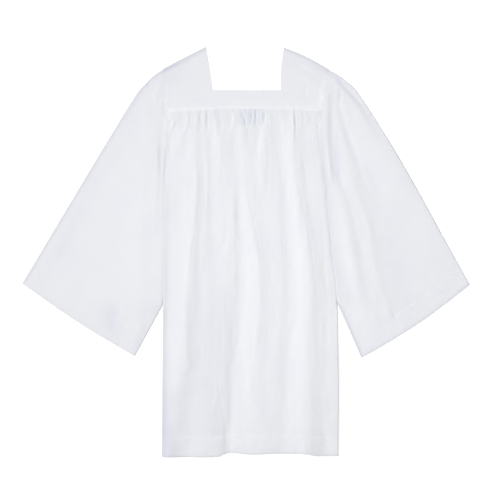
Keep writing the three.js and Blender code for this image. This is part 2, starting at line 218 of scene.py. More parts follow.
# The sleeves: how much they stand up in the middle, and how far beside the body that
# starts and is full; the same for their folds, which the part hidden under the body lacks;
# from which share of the length the head laps; and how much the lower side fills out.
LOFT = {"height": 1.2, "beside body": (20, 50)}
HIDDEN = {"beside body": (-6, -1), "armpit": (ARMPIT - 4, ARMPIT + 14)}
HEAD_LAP = (0.97, 1)
LOWER_SIDE = {"height": 0.25, "from folds": 20}

# Soft random hills: how high, how long across and along the garment, and their seed.
HILLS = {
    "gathers": [(0.4, 9, 9, 5)],
    "front": [(0.35, 26, 104, 1), (0.16, 11, 27.5, 2), (0.2, 60, 60, 3), (0.1, 6, 20, 6)],
    "front hem": [(0.18, 7, 7, 4)],
    "back": [(0.35, 34, 170, 11)],
    "yoke": [(0.15, 28, 28, 23)],
    "puff": [(0.15, 22, 22, 21)],
    "back yoke": [(0.2, 24, 24, 24)],
    "sleeve left": [(0.3, 44, 88, 41), (0.12, 13, 13, 42)],
    "sleeve right": [(0.3, 44, 88, 51), (0.12, 13, 13, 52)],
    "cuff": [(0.15, 8, 8, 43)],
    "under sleeve": [(0.25, 40, 40, 61)],
    "label": [(0.05, 12, 12, 71)],
}
HILL_TABLE = 64

# Painted shade along the cloth's turned edges and below the yoke seam: how much darker it makes
# the cloth, and how far inwards: (shade, reach).
PAINTED_EDGE_SHADES = {
    "body left": (0.9, 8.5),
    "body right": (0.1, 6.0),
    "hem": (0.25, 8.0),
    "yoke seam": (0.12, 28.0),
    "shoulder left": (1.15, 7.0),
    "shoulder right": (1.0, 6.0),
    "sleeve left": (1.05, 5.5),
    "sleeve right": (0.0, 3.0),
    "cuff left": (0.25, 6.0),
    "cuff right": (0.45, 6.0),
    "underarm left": (0.3, 12.0),
    "underarm right": (1.2, 6.5),
}

# The tables below hold lines on the cloth, one a row: how wide its flanks are, and then its
# points (x, y, height), or (x, y, shade) in the first two. Where the third number is left
# out, the line has died away. A trough has heights below 0.

# Shade in the armhole seams.
SEAM_SHADE = [
    (2.6, (-184, 350), (-185, 330, 0.35), (-184, 312, 0.5), (-184, 298), (-182, 258), (-181, 235, 0.4),
     (-181, 212, 0.9), (-183, 180, 0.9), (-184, 140, 0.7), (-184, 80, 0.5), (-184, 20, 0.35),
     (-184, -60, 0.35), (-185, -92, 0.45), (-186, -105, 1), (-187, -118)),
    (3, (208, 368), (207, 353, 0.7), (206, 340, 0.3), (206, 328)),
    (3, (186, 362), (184, 350, 0.4), (184, 336)),
]

# Other places where painted shade darkens the cloth and makes it bluer: in folds, crevices and corners.
PAINTED_SHADES = [
    (4.5, (-194, 248), (-195, 225, 0.5), (-194, 190, 0.45), (-194, 160, 0.3), (-197, 120, 0.25),
     (-198, 70, 0.15), (-198, 40)),
    (7.5, (120, 428), (150, 414, 0.2), (176, 406, 0.4), (190, 400, 0.45), (203, 388, 0.5), (218, 370, 0.4),
     (236, 350, 0.3), (262, 318, 0.1), (284, 290)),
    (6, (-120, 434), (-150, 421, 0.5), (-168, 414, 0.9), (-180, 408, 0.9), (-194, 397)),
    (9, (-188, 396), (-213, 382, 0.25), (-238, 356, 0.35), (-272, 300, 0.2), (-326, 212, 0.1), (-380, 122)),
    (5, (-184, 394), (-187, 374, 0.25), (-188, 356, 0.3), (-186, 342)),
    (15, (-232, 330), (-284, 240, 0.1), (-332, 160, 0.12), (-378, 80, 0.15), (-412, 10, 0.15), (-434, -30)),
    (7, (162, 290), (165, 262, 0.15), (169, 225, 0.3), (176, 180, 0.3), (178, 140, 0.2), (178, 100, 0.15),
     (180, 60)),
    (8, (146, 170), (147, 120, 0.15), (150, 60, 0.15), (154, 10, 0.12), (158, -30)),
    (6, (196, 40), (200, 0, 0.2), (205, -50, 0.25), (210, -100, 0.1), (212, -116)),
    (7, (0, 317, 0.1), (0, 300, 0.3), (-1, 280, 0.3), (-1, 258, 0.15), (0, 236)),
    (7, (196, 330), (199, 300, 0.15), (200, 262, 0.2), (200, 235, 0.35), (203, 205, 0.45), (205, 172, 0.35),
     (207, 148, 0.1), (208, 130)),
    (22, (300, 90), (318, 20, 0.1), (336, -50, 0.14), (350, -110, 0.16), (360, -160, 0.12)),
    (8, (288, -60), (292, -110, 0.2), (296, -150, 0.15), (300, -172)),
    (8, (230, 252), (238, 225, 0.15), (252, 196, 0.12), (268, 165, 0.15), (286, 130, 0.15), (304, 98)),
    (5.5, (180, 150), (182, 119, 0.2), (185, 60, 0.4), (189, 0, 0.45), (196, -50, 0.45), (200, -90, 0.25),
     (202, -106)),
    (22, (-184, -210), (-182, -280, 0.2), (-180, -350, 0.4), (-178, -400, 0.65), (-172, -452, 0.6)),
    (45, (-80, -60), (-90, -130, 0.16), (-88, -200, 0.2), (-92, -280, 0.14), (-120, -330, 0.14),
     (-110, -400, 0.12), (-96, -450)),
    (6, (148, -392), (148, -418, 0.2), (150, -446, 0.2)),
    (6, (177, -392), (177, -424, 0.2), (176, -448, 0.15)),
    (3, (114, 312), (115, 300, 0.3), (114, 286)),
    (7, (226, 358), (245, 330, 0.15), (262, 304, 0.25), (276, 278)),
    (34, (60, 90), (62, 40, 0.08), (70, -20, 0.1), (80, -80, 0.06), (90, -130)),
    (14, (-40, -110), (-42, -160, 0.1), (-30, -220, 0.12), (-34, -290, 0.1), (-36, -360, 0.08),
     (-40, -390)),
    (9, (-140, 300), (-138, 270, 0.15), (-146, 225, 0.12), (-150, 195)),
    (5, (-50, -380), (-50, -410, 0.2), (-49, -430, 0.45), (-49, -450, 0.4)),
    (20, (-84, -270), (-76, -340, 0.18), (-62, -400, 0.22), (-56, -440)),
    (7, (-176, 205), (-176, 150, 0.15), (-176, 100, 0.12), (-179, 50, 0.1), (-180, 10, 0.25),
     (-180, -60, 0.35), (-182, -110, 0.3), (-184, -135)),
    (17, (-318, -108), (-300, -130, 0.4), (-300, -158, 0.4), (-288, -184, 0.15), (-276, -198)),
    (8, (-230, -126), (-230, -160, 0.2), (-242, -196, 0.2), (-250, -220)),
    (14, (-190, 402, 0.1), (-166, 388, 0.2), (-140, 404, 0.1), (-112, 392)),
    (13, (130, 404), (150, 396, 0.1), (176, 386)),
    (14, (-160, -286), (-160, -320, 0.15), (-166, -352)),
    (12, (-176, -190), (-178, -235, 0.12), (-180, -280)),
    (9, (-112, -190), (-114, -235, 0.15), (-108, -280)),
    (9, (-52, -40), (-54, -80, 0.12), (-46, -120, 0.12), (-42, -150)),
    (6, (-80, 60), (-78, 30, 0.15), (-76, 0, 0.1), (-74, -30)),
    (7, (40, -140), (40, -170, 0.15), (40, -205, 0.1), (28, -260, 0.1), (24, -300, 0.1), (40, -345)),
]

# The gathers sewn into the yoke seam, left to right.
GATHERS = [
    (2.6, (-187, 303, 0.5), (-178, 285, 1.5), (-169, 268, 0.2)),
    (3, (-179, 308, -0.3), (-170, 292, -0.7), (-168, 280)),
    (2.6, (-156, 301, 0.2), (-164, 284, 1.3), (-170, 266, 0.2)),
    (3, (-146, 313, -0.2), (-144, 300, -0.7), (-146, 286)),
    (3.2, (-133, 313, 0.4), (-130, 300, 0.9), (-134, 280, 0.7), (-147, 248)),
    (2.8, (-111, 314, 0.5), (-109, 298, 0.9), (-112, 268)),
    (2, (-101, 312, -0.9), (-102, 296, -0.8), (-96, 277)),
    (3.2, (-93, 315, 0.6), (-93, 298, 0.9), (-92, 279)),
    (2.2, (-87, 311, -0.6), (-86, 297, -0.9), (-88, 272, -0.5), (-94, 258)),
    (4, (-72, 313, 0.5), (-68, 290, 0.7), (-66, 255, 0.3), (-68, 220)),
    (2.4, (-60, 312, -0.2), (-57, 290, -0.6), (-57, 260)),
    (2.6, (-46, 313, 0.4), (-43, 296, 0.6), (-42, 278)),
    (2, (-34, 306, -0.5), (-33, 292, -0.5), (-35, 276)),
    (3, (-29, 313, 0.3), (-27, 300, 0.6), (-25, 284)),
    (2.8, (-11, 313, -1.3), (-3, 300, -1.8), (-2, 290, -1.8), (-4, 272)),
    (2.4, (3, 316, 0.6), (4, 304, 0.8), (3, 290)),
    (2.6, (12, 314, -0.9), (13, 302, -1.1), (12, 288)),
    (2.2, (16, 316, 0.5), (16, 300, 0.6), (13, 284, 0.5), (4, 266)),
    (2.4, (21, 315, -1.4), (22, 303, -1.4), (21, 289, -0.6), (26, 272)),
    (7, (2, 285), (2, 262, -0.7), (3, 236)),
    (2.2, (33, 313, 0.6), (34, 302, 0.9), (31, 288)),
    (1.9, (40, 311, -0.8), (41, 300, -1), (37, 285)),
    (6, (34, 284), (35, 262, 0.8), (36, 236, 0.6), (34, 212)),
    (3, (51, 313, 0.3), (54, 294, 0.6), (52, 276)),
    (5, (78, 314, 0.3), (80, 297, 0.4), (82, 279, 0.4), (80, 240)),
    (2.2, (93, 313, -0.5), (94, 304, -0.4), (94, 292)),
    (2.2, (103, 318, 0.7), (104, 296, 0.8), (104, 266, 0.5), (102, 238)),
    (2, (108, 316, -0.9), (109, 294, -1), (109, 264, -0.5), (108, 238)),
    (3, (119, 313, 0.3), (122, 297, 0.5), (118, 281)),
    (2.4, (131, 314, 0.2), (134, 299, 0.4), (130, 283)),
    (2.2, (141, 312, -0.2), (144, 298, -0.4), (140, 283)),
    (3.5, (158, 292), (163, 276, -1), (164, 250, -1.1), (166, 225, -0.8), (172, 200, -0.5), (178, 170)),
]

# Creases of the front beyond the gathers and the folds of its solid.
FRONT_CREASES = [
    (60, (190, -180), (194, -260, 2.4), (190, -340, 2.2), (180, -410)),
    (9, (-184, 200, 0.2), (-184, 100, 1.2), (-184, -50, 1.3), (-184, -110, 0.8), (-184, -160)),
    (17, (-190, -200), (-190, -280, 1.2), (-188, -350, 2.2), (-184, -452, 2.6)),
    (6, (-178, 262), (-172, 235, -0.7), (-170, 190)),
    (22, (-148, 190), (-148, 130, -1.2), (-149, 60, -1.8), (-150, -20, -2), (-152, -80, -1.6),
     (-154, -130, -0.6), (-156, -170)),
    (11, (-104, 235), (-105, 200, 0.6), (-106, 150, 1), (-109, 100, 0.9), (-113, 50, 0.9), (-113, 0, 0.9),
     (-116, -50, 1), (-120, -100, 0.9), (-126, -150, 0.2), (-130, -190)),
    (4.5, (-107, 262), (-104, 150, -0.3), (-108, 50)),
    (4, (-92, 250), (-88, 160, 0.5), (-90, 30)),
    (2.6, (-109, 270), (-107, 200, -0.3), (-107, 130, -0.3), (-113, 60, -0.4), (-124, -20, -0.4),
     (-131, -90, -0.3), (-135, -160)),
    (2.4, (-94, 240), (-94, 180, -0.3), (-93, 120, -0.2), (-91, 70)),
    (2.4, (45, 228), (46, 190, -0.4), (46, 150, -0.3), (47, 130)),
    (2.6, (2, 140), (9, 108, -0.3), (19, 60, -0.4), (28, 18, -0.4), (31, -30, -0.3), (34, -80)),
    (2.8, (110, 236), (114, 164, -0.3), (125, 110, -0.4), (134, 66, -0.4), (144, 12, -0.4),
     (150, -44, -0.3), (158, -110)),
    (2.6, (80, 80), (81, 30, -0.3), (82, -20, -0.3), (84, -60)),
    (2.8, (-44, -60), (-46, -120, -0.3), (-42, -200, -0.3), (-50, -262)),
    (2.8, (-58, -250), (-62, -300, -0.3), (-52, -350, -0.4), (-46, -400, -0.4), (-45, -440)),
    (9, (-58, 292), (-58, 260, 0.8), (-59, 230, 0.8), (-60, 190, 0.4), (-60, 150)),
    (6, (-30, 200), (-30, 150, 0.5), (-29, 100, 0.7), (-27, 50, 0.5), (-26, 0, 0.6), (-27, -50, 0.4),
     (-27, -90)),
    (4, (30, 262), (32, 200, 0.5), (36, 145)),
    (7, (45, 285), (46, 250, 0.6), (44, 200, 0.5), (41, 150, 0.3), (38, 115)),
    (4.5, (47, 280), (49, 215, -0.6), (52, 155)),
    (4, (118, 270), (128, 190, -0.4), (136, 110)),
    (13, (154, 292, 0.2), (157, 250, 1), (158, 200, 0.8), (160, 150, 0.5), (162, 105)),
    (6, (160, 290), (168, 200, 0.6), (172, 100)),
    (8, (166, 160), (171, 119, 0.5), (179, 60, 0.8), (185, 0, 1), (194, -50, 0.7), (198, -90)),
    (30, (200, -40), (203, -110, 0.8), (204, -170, 2.4), (206, -250, 3.2), (206, -350, 3),
     (206, -452, 2.4)),
    (10, (-132, 280), (-131, 240, -0.8), (-135, 200, -0.5), (-138, 180)),
    (9, (-85, 295, -0.6), (-84, 260, -0.9), (-82, 235, -0.9), (-88, 205)),
    (4, (-90, 205), (-90, 160, -0.5), (-89, 110)),
    (10, (-165, 250), (-163, 218, 0.7), (-165, 190)),
    (6.5, (-108, 215), (-108, 170, 0.8), (-109, 130, 0.8), (-113, 80, 0.5), (-118, 45, 0.3),
     (-123, 20, 0.7), (-128, -20, 0.6), (-131, -70, 0.7), (-135, -130, 0.9), (-133, -200, 0.6),
     (-134, -225, 0.8), (-128, -250, 1), (-140, -265, 0.5), (-158, -290)),
    (14, (-156, 150), (-152, 120, -0.6), (-150, 90, -0.2), (-148, 40, -0.4), (-146, 0, -0.3),
     (-142, -40, -0.8), (-142, -80)),
    (7.5, (-100, 70), (-98, 30, 0.6), (-98, -20, 0.6), (-104, -60, 0.3), (-110, -90, 0.6), (-113, -115, 1),
     (-114, -150, 0.3), (-114, -175)),
    (9, (-48, 190), (-48, 160, -0.5), (-48, 125, -0.4), (-46, 90, -0.2), (-44, 40, -0.5), (-60, 0, -0.5),
     (-72, -30)),
    (16, (-150, -330, -0.4), (-128, -312, -0.8), (-105, -308, -0.8), (-88, -290, -0.4), (-84, -270)),
    (12, (-172, -345, -0.2), (-145, -352, -0.5), (-130, -352, -0.6), (-120, -345)),
    (8, (-70, -255), (-66, -290, 0.6), (-64, -312, 0.8), (-72, -345, 0.5), (-78, -370)),
    (10, (-166, -375), (-163, -400, -1), (-166, -430)),
    (10, (-86, -408), (-60, -402, -0.6), (-48, -394)),
    (9, (-24, 300, 0.9), (-33, 275, 0.9), (-40, 245, 0.7), (-36, 215, 0.3), (-30, 190)),
    (7, (-24, 195), (-22, 160, 0.5), (-24, 125, 0.9), (-26, 80, 0.8), (-22, 40, 0.6), (-15, 20, 0.7),
     (-20, -10, 0.5), (-26, -50, 0.5), (-28, -80)),
    (7, (5, 200), (6, 170, -0.6), (5, 145, -0.9), (10, 115, -0.6), (22, 90, -0.5), (30, 68)),
    (8, (30, 300, -0.6), (31, 270, -0.8), (24, 240, -0.7), (30, 208)),
    (9, (34, 198), (34, 165, 0.8), (30, 140, 0.3), (30, 108)),
    (7, (68, 212), (70, 180, 0.4), (72, 150, 0.7), (72, 120, 0.4), (74, 88)),
    (6, (94, 210), (92, 180, -0.4), (88, 130, -0.5), (88, 98)),
    (7, (9, 72), (12, 40, 0.7), (22, 10, 0.8), (28, -20, 1), (30, -60, 0.6), (30, -100, 0.8),
     (28, -130, 0.4), (24, -160, 0.7), (22, -190, 0.8), (20, -215)),
    (6, (80, 32), (80, 0, 0.6), (80, -40, 0.2), (79, -85, 0.5), (82, -112)),
    (10, (6, -35), (-2, -60, -0.6), (-8, -90, -0.6), (-12, -120, -0.5), (-14, -160, -0.9),
     (-15, -188, -1.1), (-26, -220, -0.8), (-36, -255, -1.4), (-34, -290, -1.2), (-33, -330, -1.4),
     (-34, -360, -1.4), (-38, -400, -1.2), (-39, -445, -1)),
    (7, (-36, -60), (-38, -100, -0.5), (-34, -150, -0.4), (-31, -180, -0.8), (-33, -225)),
    (9, (12, -232), (8, -270, 0.7), (8, -310, 0.9), (14, -338, 0.3), (28, -355, 0.5), (44, -378, 0.4),
     (54, -430, 0.2)),
    (10, (36, -208), (40, -240, -0.5), (42, -290, -0.4), (64, -300, -0.5), (64, -340)),
    (7, (70, -160), (69, -210, 0.6), (62, -245)),
    (6, (112, 300, -0.4), (113, 270, -0.6), (112, 220, -0.6), (112, 188)),
    (9, (114, 160), (114, 110, 1), (114, 70, 0.8), (116, 40, 0.4), (118, 15)),
    (6, (126, 130), (131, 80, 0.8), (136, 40, 0.5), (141, 5)),
    (9, (100, 32), (102, -20, -0.4), (112, -80, -0.5), (115, -140, -0.4), (100, -180, -0.7),
     (92, -230, -0.5), (88, -290, -0.7), (92, -340, -0.4), (96, -375)),
    (9, (120, -248), (119, -280, 0.3), (122, -360, 0.5), (126, -400, 0.5), (130, -445, 1.2)),
    (8, (140, -188), (143, -230, -0.6), (146, -262, -0.2), (150, -310, -0.4), (150, -385, -0.2),
     (150, -400)),
    (8, (166, -108), (169, -145, 0.8), (169, -170, 1.1), (168, -200, 0.8), (169, -240, 0.7),
     (167, -280, 0.5), (173, -320, 0.6), (172, -350, 0.5), (170, -378)),
    (6, (168, 30), (170, -10, -0.5), (174, -50, -0.9), (178, -80, -0.8), (184, -110, -0.6), (186, -128)),
    (8, (172, -388), (176, -415, -1), (174, -448, -0.4)),
]

# Creases of the sleeves.
SLEEVE_CREASES = {
    "left": [
        (14, (-200, 370), (-202, 310, 0.4), (-204, 240, 0.4), (-208, 180)),
        (3, (-189, 352), (-194, 340, -0.6), (-192, 328)),
        (3, (-214, 388), (-216, 379, -0.7), (-218, 368)),
        (6, (-196, 366), (-202, 350, 0.7), (-196, 330)),
        (22, (-196, 310, 0.2), (-200, 285, 1.3), (-203, 255, 1.6), (-203, 220, 1.5), (-200, 180, 1),
         (-197, 140, 0.5), (-196, 90, 0.2), (-196, 40)),
        (70, (-206, 340), (-207, 270, 0.8), (-208, 200, 1.5), (-208, 140, 2.4), (-210, 50, 4.2),
         (-214, -50, 4.2), (-226, -130, 1.6), (-240, -190)),
        (3.5, (-198, 262), (-198, 232, 0.5), (-196, 196, 0.4), (-194, 166)),
        (8, (-326, -116), (-304, -143, -1.3), (-286, -152)),
        (7, (-352, -102), (-380, -84, -0.5), (-408, -68)),
        (8, (-258, -86), (-276, -140, 0.6), (-286, -186)),
        (12, (-390, 20), (-418, -20, -0.5), (-440, -56)),
        (10, (-326, 186), (-350, 140, -0.5), (-366, 96)),
    ],
    "right": [
        (7, (187, 312, -0.2), (192, 276, -0.3), (196, 240, -0.5), (202, 200, -0.7), (209, 160, -0.7),
         (226, 119, -0.5), (241, 60, -0.4), (255, 0, -0.3), (260, -60, -0.2), (285, -112, -0.3),
         (300, -150)),
        (15, (190, 176), (210, 119, 1.3), (221, 60, 1.8), (234, 0, 2.1), (246, -60, 1.8), (259, -112, 1.2),
         (272, -160, 0.6), (282, -200)),
        (26, (258, 130), (268, 60, 1.2), (278, 0, 1.8), (288, -60, 2), (300, -112, 1.6), (312, -160)),
        (9, (197, 318, 0.3), (210, 276, 0.7), (219, 240, 0.3), (227, 200, 0.3), (236, 160, 0.9),
         (250, 119, 0.8), (272, 60, 0.8), (280, 0, 0.6), (292, -60, 0.6), (312, -112, 0.5), (328, -160)),
        (8, (207, 332), (212, 312, -0.9), (221, 276, -1.1), (234, 240, -1.1), (248, 200, -1),
         (262, 160, -0.9), (285, 119, -0.6), (335, 60)),
        (3.6, (196, 382), (188, 364, -1.1), (185, 348, -1.4), (190, 324)),
        (2.6, (212, 388), (210, 366, -0.8), (208, 352, -1.5), (206, 330, -0.6), (209, 312)),
        (3.2, (213, 382), (211, 356, 0.6), (213, 328)),
        (5, (202, 393), (208, 383, -1), (222, 366, -1.5), (240, 347, -1.6), (256, 329, -0.8), (270, 310)),
        (9, (226, 364), (262, 300, 0.7), (296, 240)),
        (28, (290, 280), (312, 240, 1.4), (326, 200, 2.2), (340, 160, 2.2), (350, 119, 1.4), (362, 70)),
        (40, (300, 270), (340, 214, 1.4), (372, 160, 2.4), (414, 90, 2.2), (446, 30, 1.2), (475, -30)),
        (24, (244, 330), (266, 270, 1.4), (290, 225, 1.7), (308, 180, 0.8), (322, 130)),
        (5, (320, -122), (330, -138, -1), (337, -154)),
        (12, (342, -50), (362, -96, 0.5), (380, -136)),
    ],
}

# Creases of the shoulders, and of the yoke between them.
YOKE_CREASES = [
    (5, (-180, 390), (-150, 402, -0.5), (-120, 416)),
    (4, (-172, 368), (-176, 346, 0.6), (-172, 324)),
    (6, (98, 430), (126, 412, -0.7), (158, 392)),
    (7, (118, 404), (144, 384, 0.6), (168, 370)),
    (2.2, (131, 374), (131, 360, -0.6), (131, 346)),
    (4, (166, 368), (172, 344, 0.6), (168, 320)),
]

# Dents and puckers along the armhole seams, in the cloth on both sides of them.
ARMHOLE_CREASES = [
    (3, (-182, 350), (-184, 340, -0.9), (-183, 328, -0.3)),
    (3, (-184, 328, -0.2), (-185, 318, -1), (-183, 306)),
    (3, (-178, 366), (-186, 356, 0.6), (-192, 344)),
    (3, (-170, 330), (-176, 322, 0.7), (-190, 314)),
    (3, (-182, 304), (-177, 294, 0.8), (-176, 284)),
    (3.5, (168, 352), (176, 338, 0.7), (177, 318)),
    (6, (176, 352), (178, 330, 0.4), (176, 300, 0.5), (177, 270, 0.4), (181, 240, 0.7), (185, 200, 1),
     (188, 172, 0.8), (190, 150)),
]

# The seam between the yoke's strip and the shoulders, below the corners of the neck: its
# height on each side, and the short stretches where it is drawn in.
SHOULDER_SEAM = {"left": 355, "right": 358}
SHOULDER_SEAM_DENTS = [
    (2.4, (-146, 354), (-136, 354, -0.8), (-108, 354, -0.8), (-98, 355)),
    (2.4, (66, 358), (74, 357, -0.7), (106, 357, -0.7), (114, 357)),
]

# How many flanks from its line a crease ends, and into how many steps a line is cut between
# two of its points.
CREASE_ENDS = 3
CREASE_STEPS = 6

# The label inside, under the middle of the yoke, and how far its edge fades where it shows
# faintly through the front.
LABEL = {"x": 12, "y": 303, "width": 56, "height": 34}
LABEL_FADE = 4

# What colours the cloth: the tint's name on the meshes, how strong it is, and its colour. The
# first two are painted shade, the third is the label showing through the front, and the last is
# painted light along the crest of the yoke seam, partly the seam allowances folded under it.
TINTS = [
    ("edge", 0.55, (0.51, 0.515, 0.56, 1)),
    ("painted_shade", 0.55, (0.51, 0.50, 0.62, 1)),
    ("label", 0.17, (0.50, 0.54, 0.66, 1)),
    ("turnings_and_painted_light", 0.42, (0.785, 0.797, 0.82, 1)),
]

# The shaders' sockets, the threads, the slubs and the mottle of the cloth with its two
# whites, and how much the threads darken it.
CLOTH_LOOK = {"Roughness": 0.85, "Specular IOR Level": 0.2, "Sheen Weight": 0.08}
FLOOR_LOOK = {
    "Base Color": (0.6, 0.6, 0.6, 1),
    "Roughness": 1.0,
    "Specular IOR Level": 0.0,
    "Emission Color": (1, 1, 1, 1),
    "Emission Strength": 0.6,
}
THREADS = {"Scale": 560.0, "Distortion": 0.6}
SLUBS = {"Scale": 900.0, "Detail": 3.0}
MOTTLE = {"Scale": 14.0, "Detail": 4.0}
RELIEF = {"Strength": 0.25, "Distance": 0.0002}
WHITES = [(0.3, (0.728, 0.737, 0.775)), (0.7, (0.740, 0.754, 0.779))]
THREADS_DARKEN = 0.04

# The camera looks straight down at the spot that it is over, and sees the given width. Its
# sensor and that spot are in millimetres. Its height and width and the lamps, which are
# discs, are in metres.
CAMERA = {"sensor": 36.0, "sees": 1.112, "height": 4.0, "over": np.array([7.8, 11.1]) - MIDDLE}
LAMPS = [
    {"name": "key", "place": (-5.83, 2.59, 7.45), "target": (0, 0, 0), "size": 3.24, "power": 716},
    {"name": "above", "place": (0.17, -0.06, 1.26), "target": (0.17, -0.06, 0), "size": 0.8,
     "power": 5.5},
]
WORLD_LIGHT = 0.325
FLOOR = {"size": 30, "z": -0.0002}


def smooth(value, low, high):
    """0 below low, 1 above high, and an even ramp between."""
    share = np.clip((value - low) / (high - low), 0, 1)
    return share * share * (3 - 2 * share)


def near(distance, reach):
    """1 at a line, and down to nothing within about twice the reach."""
    return np.exp(-((distance / reach) ** 2))


def rolled(distance, radius):
    """A quarter round: 0 at an edge, 1 from radius inwards."""
    return np.sqrt(1 - (1 - np.clip(distance / radius, 0, 1)) ** 2)


def roll_off(edge, distance):
    """How far the cloth drops at a distance from one of its rolled edges."""
    drop, radius = ROLLS[edge]
    return drop * (1 - rolled(distance, radius))


def waviness(gx, gy, seed):
    """Soft random hills between -1 and 1, one unit apart, the same each run."""
    table = np.random.default_rng(seed).uniform(-1, 1, (HILL_TABLE, HILL_TABLE))
    ix, iy = np.floor(gx).astype(int), np.floor(gy).astype(int)
    fx, fy = smooth(gx - ix, 0, 1), smooth(gy - iy, 0, 1)

    def corner(dx, dy):
        return table[(ix + dx) % HILL_TABLE, (iy + dy) % HILL_TABLE]

    low = corner(0, 0) * (1 - fx) + corner(1, 0) * fx
    high = corner(0, 1) * (1 - fx) + corner(1, 1) * fx
    return low * (1 - fy) + high * fy


def hills(x, y, piece):
    """The soft random hills of a piece."""
    return sum(
        height * waviness(x / across, y / along, seed)
        for height, across, along, seed in HILLS[piece]
    )


def curve(points):
    """A smooth line through the points, whose last columns go along with it."""
    points = np.array(points, float)
    padded = np.vstack([2 * points[0] - points[1], points, 2 * points[-1] - points[-2]])
    share = np.linspace(0, 1, CREASE_STEPS, endpoint=False)[:, None]
    stretches = []
    for a, b, c, d in zip(padded, padded[1:], padded[2:], padded[3:]):
        bend = (c - a) * share + (2 * a - 5 * b + 4 * c - d) * share**2
        stretches.append(b + (bend + (3 * b - a - 3 * c + d) * share**3) / 2)
    return np.vstack([*stretches, points[-1:]])


def crease(x, y, flank, line):
    """A soft ridge along a line of points (x, y, height), or (x, y) where it has no height."""
    points = curve([(*point, 0)[:3] for point in line])
    margin = CREASE_ENDS * flank
    low, high = points.min(axis=0) - margin, points.max(axis=0) + margin
    close = (x > low[0]) & (x < high[0]) & (y > low[1]) & (y < high[1])
    px, py = x[close], y[close]
    nearest = np.full(px.shape, np.inf)
    height = np.zeros(px.shape)
    for (ax, ay, az), (bx, by, bz) in zip(points, points[1:]):
        dx, dy = bx - ax, by - ay
        share = np.clip(((px - ax) * dx + (py - ay) * dy) / (dx * dx + dy * dy), 0, 1)
        off = np.hypot(px - ax - share * dx, py - ay - share * dy)
        closer = off < nearest
        nearest = np.where(closer, off, nearest)
        height = np.where(closer, az + (bz - az) * share, height)
    ridge = np.zeros(x.shape)
    ridge[close] = height * near(nearest, flank)
    return ridge


def creases(x, y, table):
    """The sum of all the lines of a table."""
    return sum(crease(x, y, flank, line) for flank, *line in table)


def armhole_bow(side, y):
    """How far the armhole bows sideways at a height."""
    share = np.clip((y - ARMPIT) / (SHOULDER - ARMPIT), 0, 1)
    return ARMHOLE_BOW[side] * np.sin(np.pi * share)


def side_x(side, y):
    """The body's edge at a height."""
    return np.interp(y, SIDES["y"], SIDES[side]) + armhole_bow(side, y)


def between_edges(share, y):
    """Points at shares of the way across the body, and how far they are from its edges."""
    left, right = side_x("left", y), side_x("right", y)
    x = left + (right - left) * share
    return x, x - left, right - x


def yoke_seam(share):
    """The seam between yoke and body, which arches up in the middle."""
    ends = YOKE_SEAM["left"] + (YOKE_SEAM["right"] - YOKE_SEAM["left"]) * share
    middle = YOKE_SEAM["middle"] - (YOKE_SEAM["left"] + YOKE_SEAM["right"]) / 2
    return ends + middle * np.sin(np.pi * share)


def armhole_height(side, piece, x, y):
    """How high the cloth lies along an armhole seam, which is never quite flat."""
    level = np.interp(y, ARMHOLES["y"], ARMHOLES[side]) + creases(x, y, ARMHOLE_CREASES)
    on_top = (piece == "sleeve") == (side == "left")
    return level if on_top else level - ARMHOLE_STEP


def beside_armholes(z, x, y, from_left, from_right):
    """The height eased to that of the armhole seams above the armpit."""
    sewn = smooth(y, *SEWN_FROM)
    for side, distance in (("left", from_left), ("right", from_right)):
        level = armhole_height(side, "body", x, y)
        z = z + (level - z) * sewn * (1 - smooth(distance, 0, ARMHOLE_EASE))
    return z


def pushed_up(side, y):
    """How high a sleeve is pushed up against the body's side."""
    return np.interp(y, BESIDE_BODY["y"], BESIDE_BODY[side])


def turned_hem(name, x, y, from_edge, shows):
    """The step and the groove at the upper line of a turned hem, and its puckers."""
    hem, soft = HEMS[name], HEM_STEP["soft"]
    below_line = hem["depth"] - from_edge
    step = HEM_STEP["height"] * shows * smooth(below_line, -soft, soft)
    groove = HEM_STEP["groove"] * near(below_line, HEM_STEP["groove width"])
    puckers = hills(x, y, name) * smooth(below_line + hem["puckers end"], 0, hem["fade"])
    return step - groove + puckers


def mesh_tree(mesh):
    """A mesh that rays can be sent at."""
    return BVHTree.FromPolygons(
        [v.co.copy() for v in mesh.vertices], [tuple(p.vertices) for p in mesh.polygons]
    )


def solid_height(node, x, y, underside=False):
    """How high a solid's upper side is over each point, or its underside."""
    tree = mesh_tree(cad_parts[node].data)
    start, way = (-FAR, 1.0) if underside else (FAR, -1.0)
    height = np.full(x.shape, np.nan)
    px, py = (x - MIDDLE[0]) * MM, (y - MIDDLE[1]) * MM
    for i, spot in enumerate(zip(px.flat, py.flat)):
        hit = tree.ray_cast(Vector((*spot, start)), Vector((0, 0, way)))[0]
        if hit is not None:
            height.flat[i] = hit.z / MM
    for row in height:
        known = np.flatnonzero(~np.isnan(row))
        row[:] = np.interp(np.arange(row.size), known, row[known])
    return height


def averaged(field, rows):
    """The field without its facets: averaged over a few columns and so many rows."""
    for axis, width in ((1, AVERAGED_COLUMNS), (0, rows)):
        reach = int(3 * width) + 1
        weights = np.exp(-0.5 * (np.arange(-reach, reach + 1) / width) ** 2)
        weights /= weights.sum()
        pads = [(0, 0), (0, 0)]
        pads[axis] = (reach, reach)
        wide = np.pad(field, pads, mode="reflect", reflect_type="odd")
        field = np.apply_along_axis(lambda line: np.convolve(line, weights, "valid"), axis, wide)
    return field


def graded(*stretches):
    """Shares from 0 to 1, in stretches of (end, number of steps)."""
    shares = [np.zeros(1)]
    for end, steps in stretches:
        shares.append(np.linspace(shares[-1][-1], end, steps + 1)[1:])
    return np.concatenate(shares)


def edge_shade(distances):
    """The strongest of the shades of the edges, from how far away each of them is."""
    shades = []
    for name, distance in distances.items():
        shade, reach = PAINTED_EDGE_SHADES[name]
        shades.append(shade * near(np.maximum(distance, 0), reach))
    return np.max(np.broadcast_arrays(*shades), axis=0)


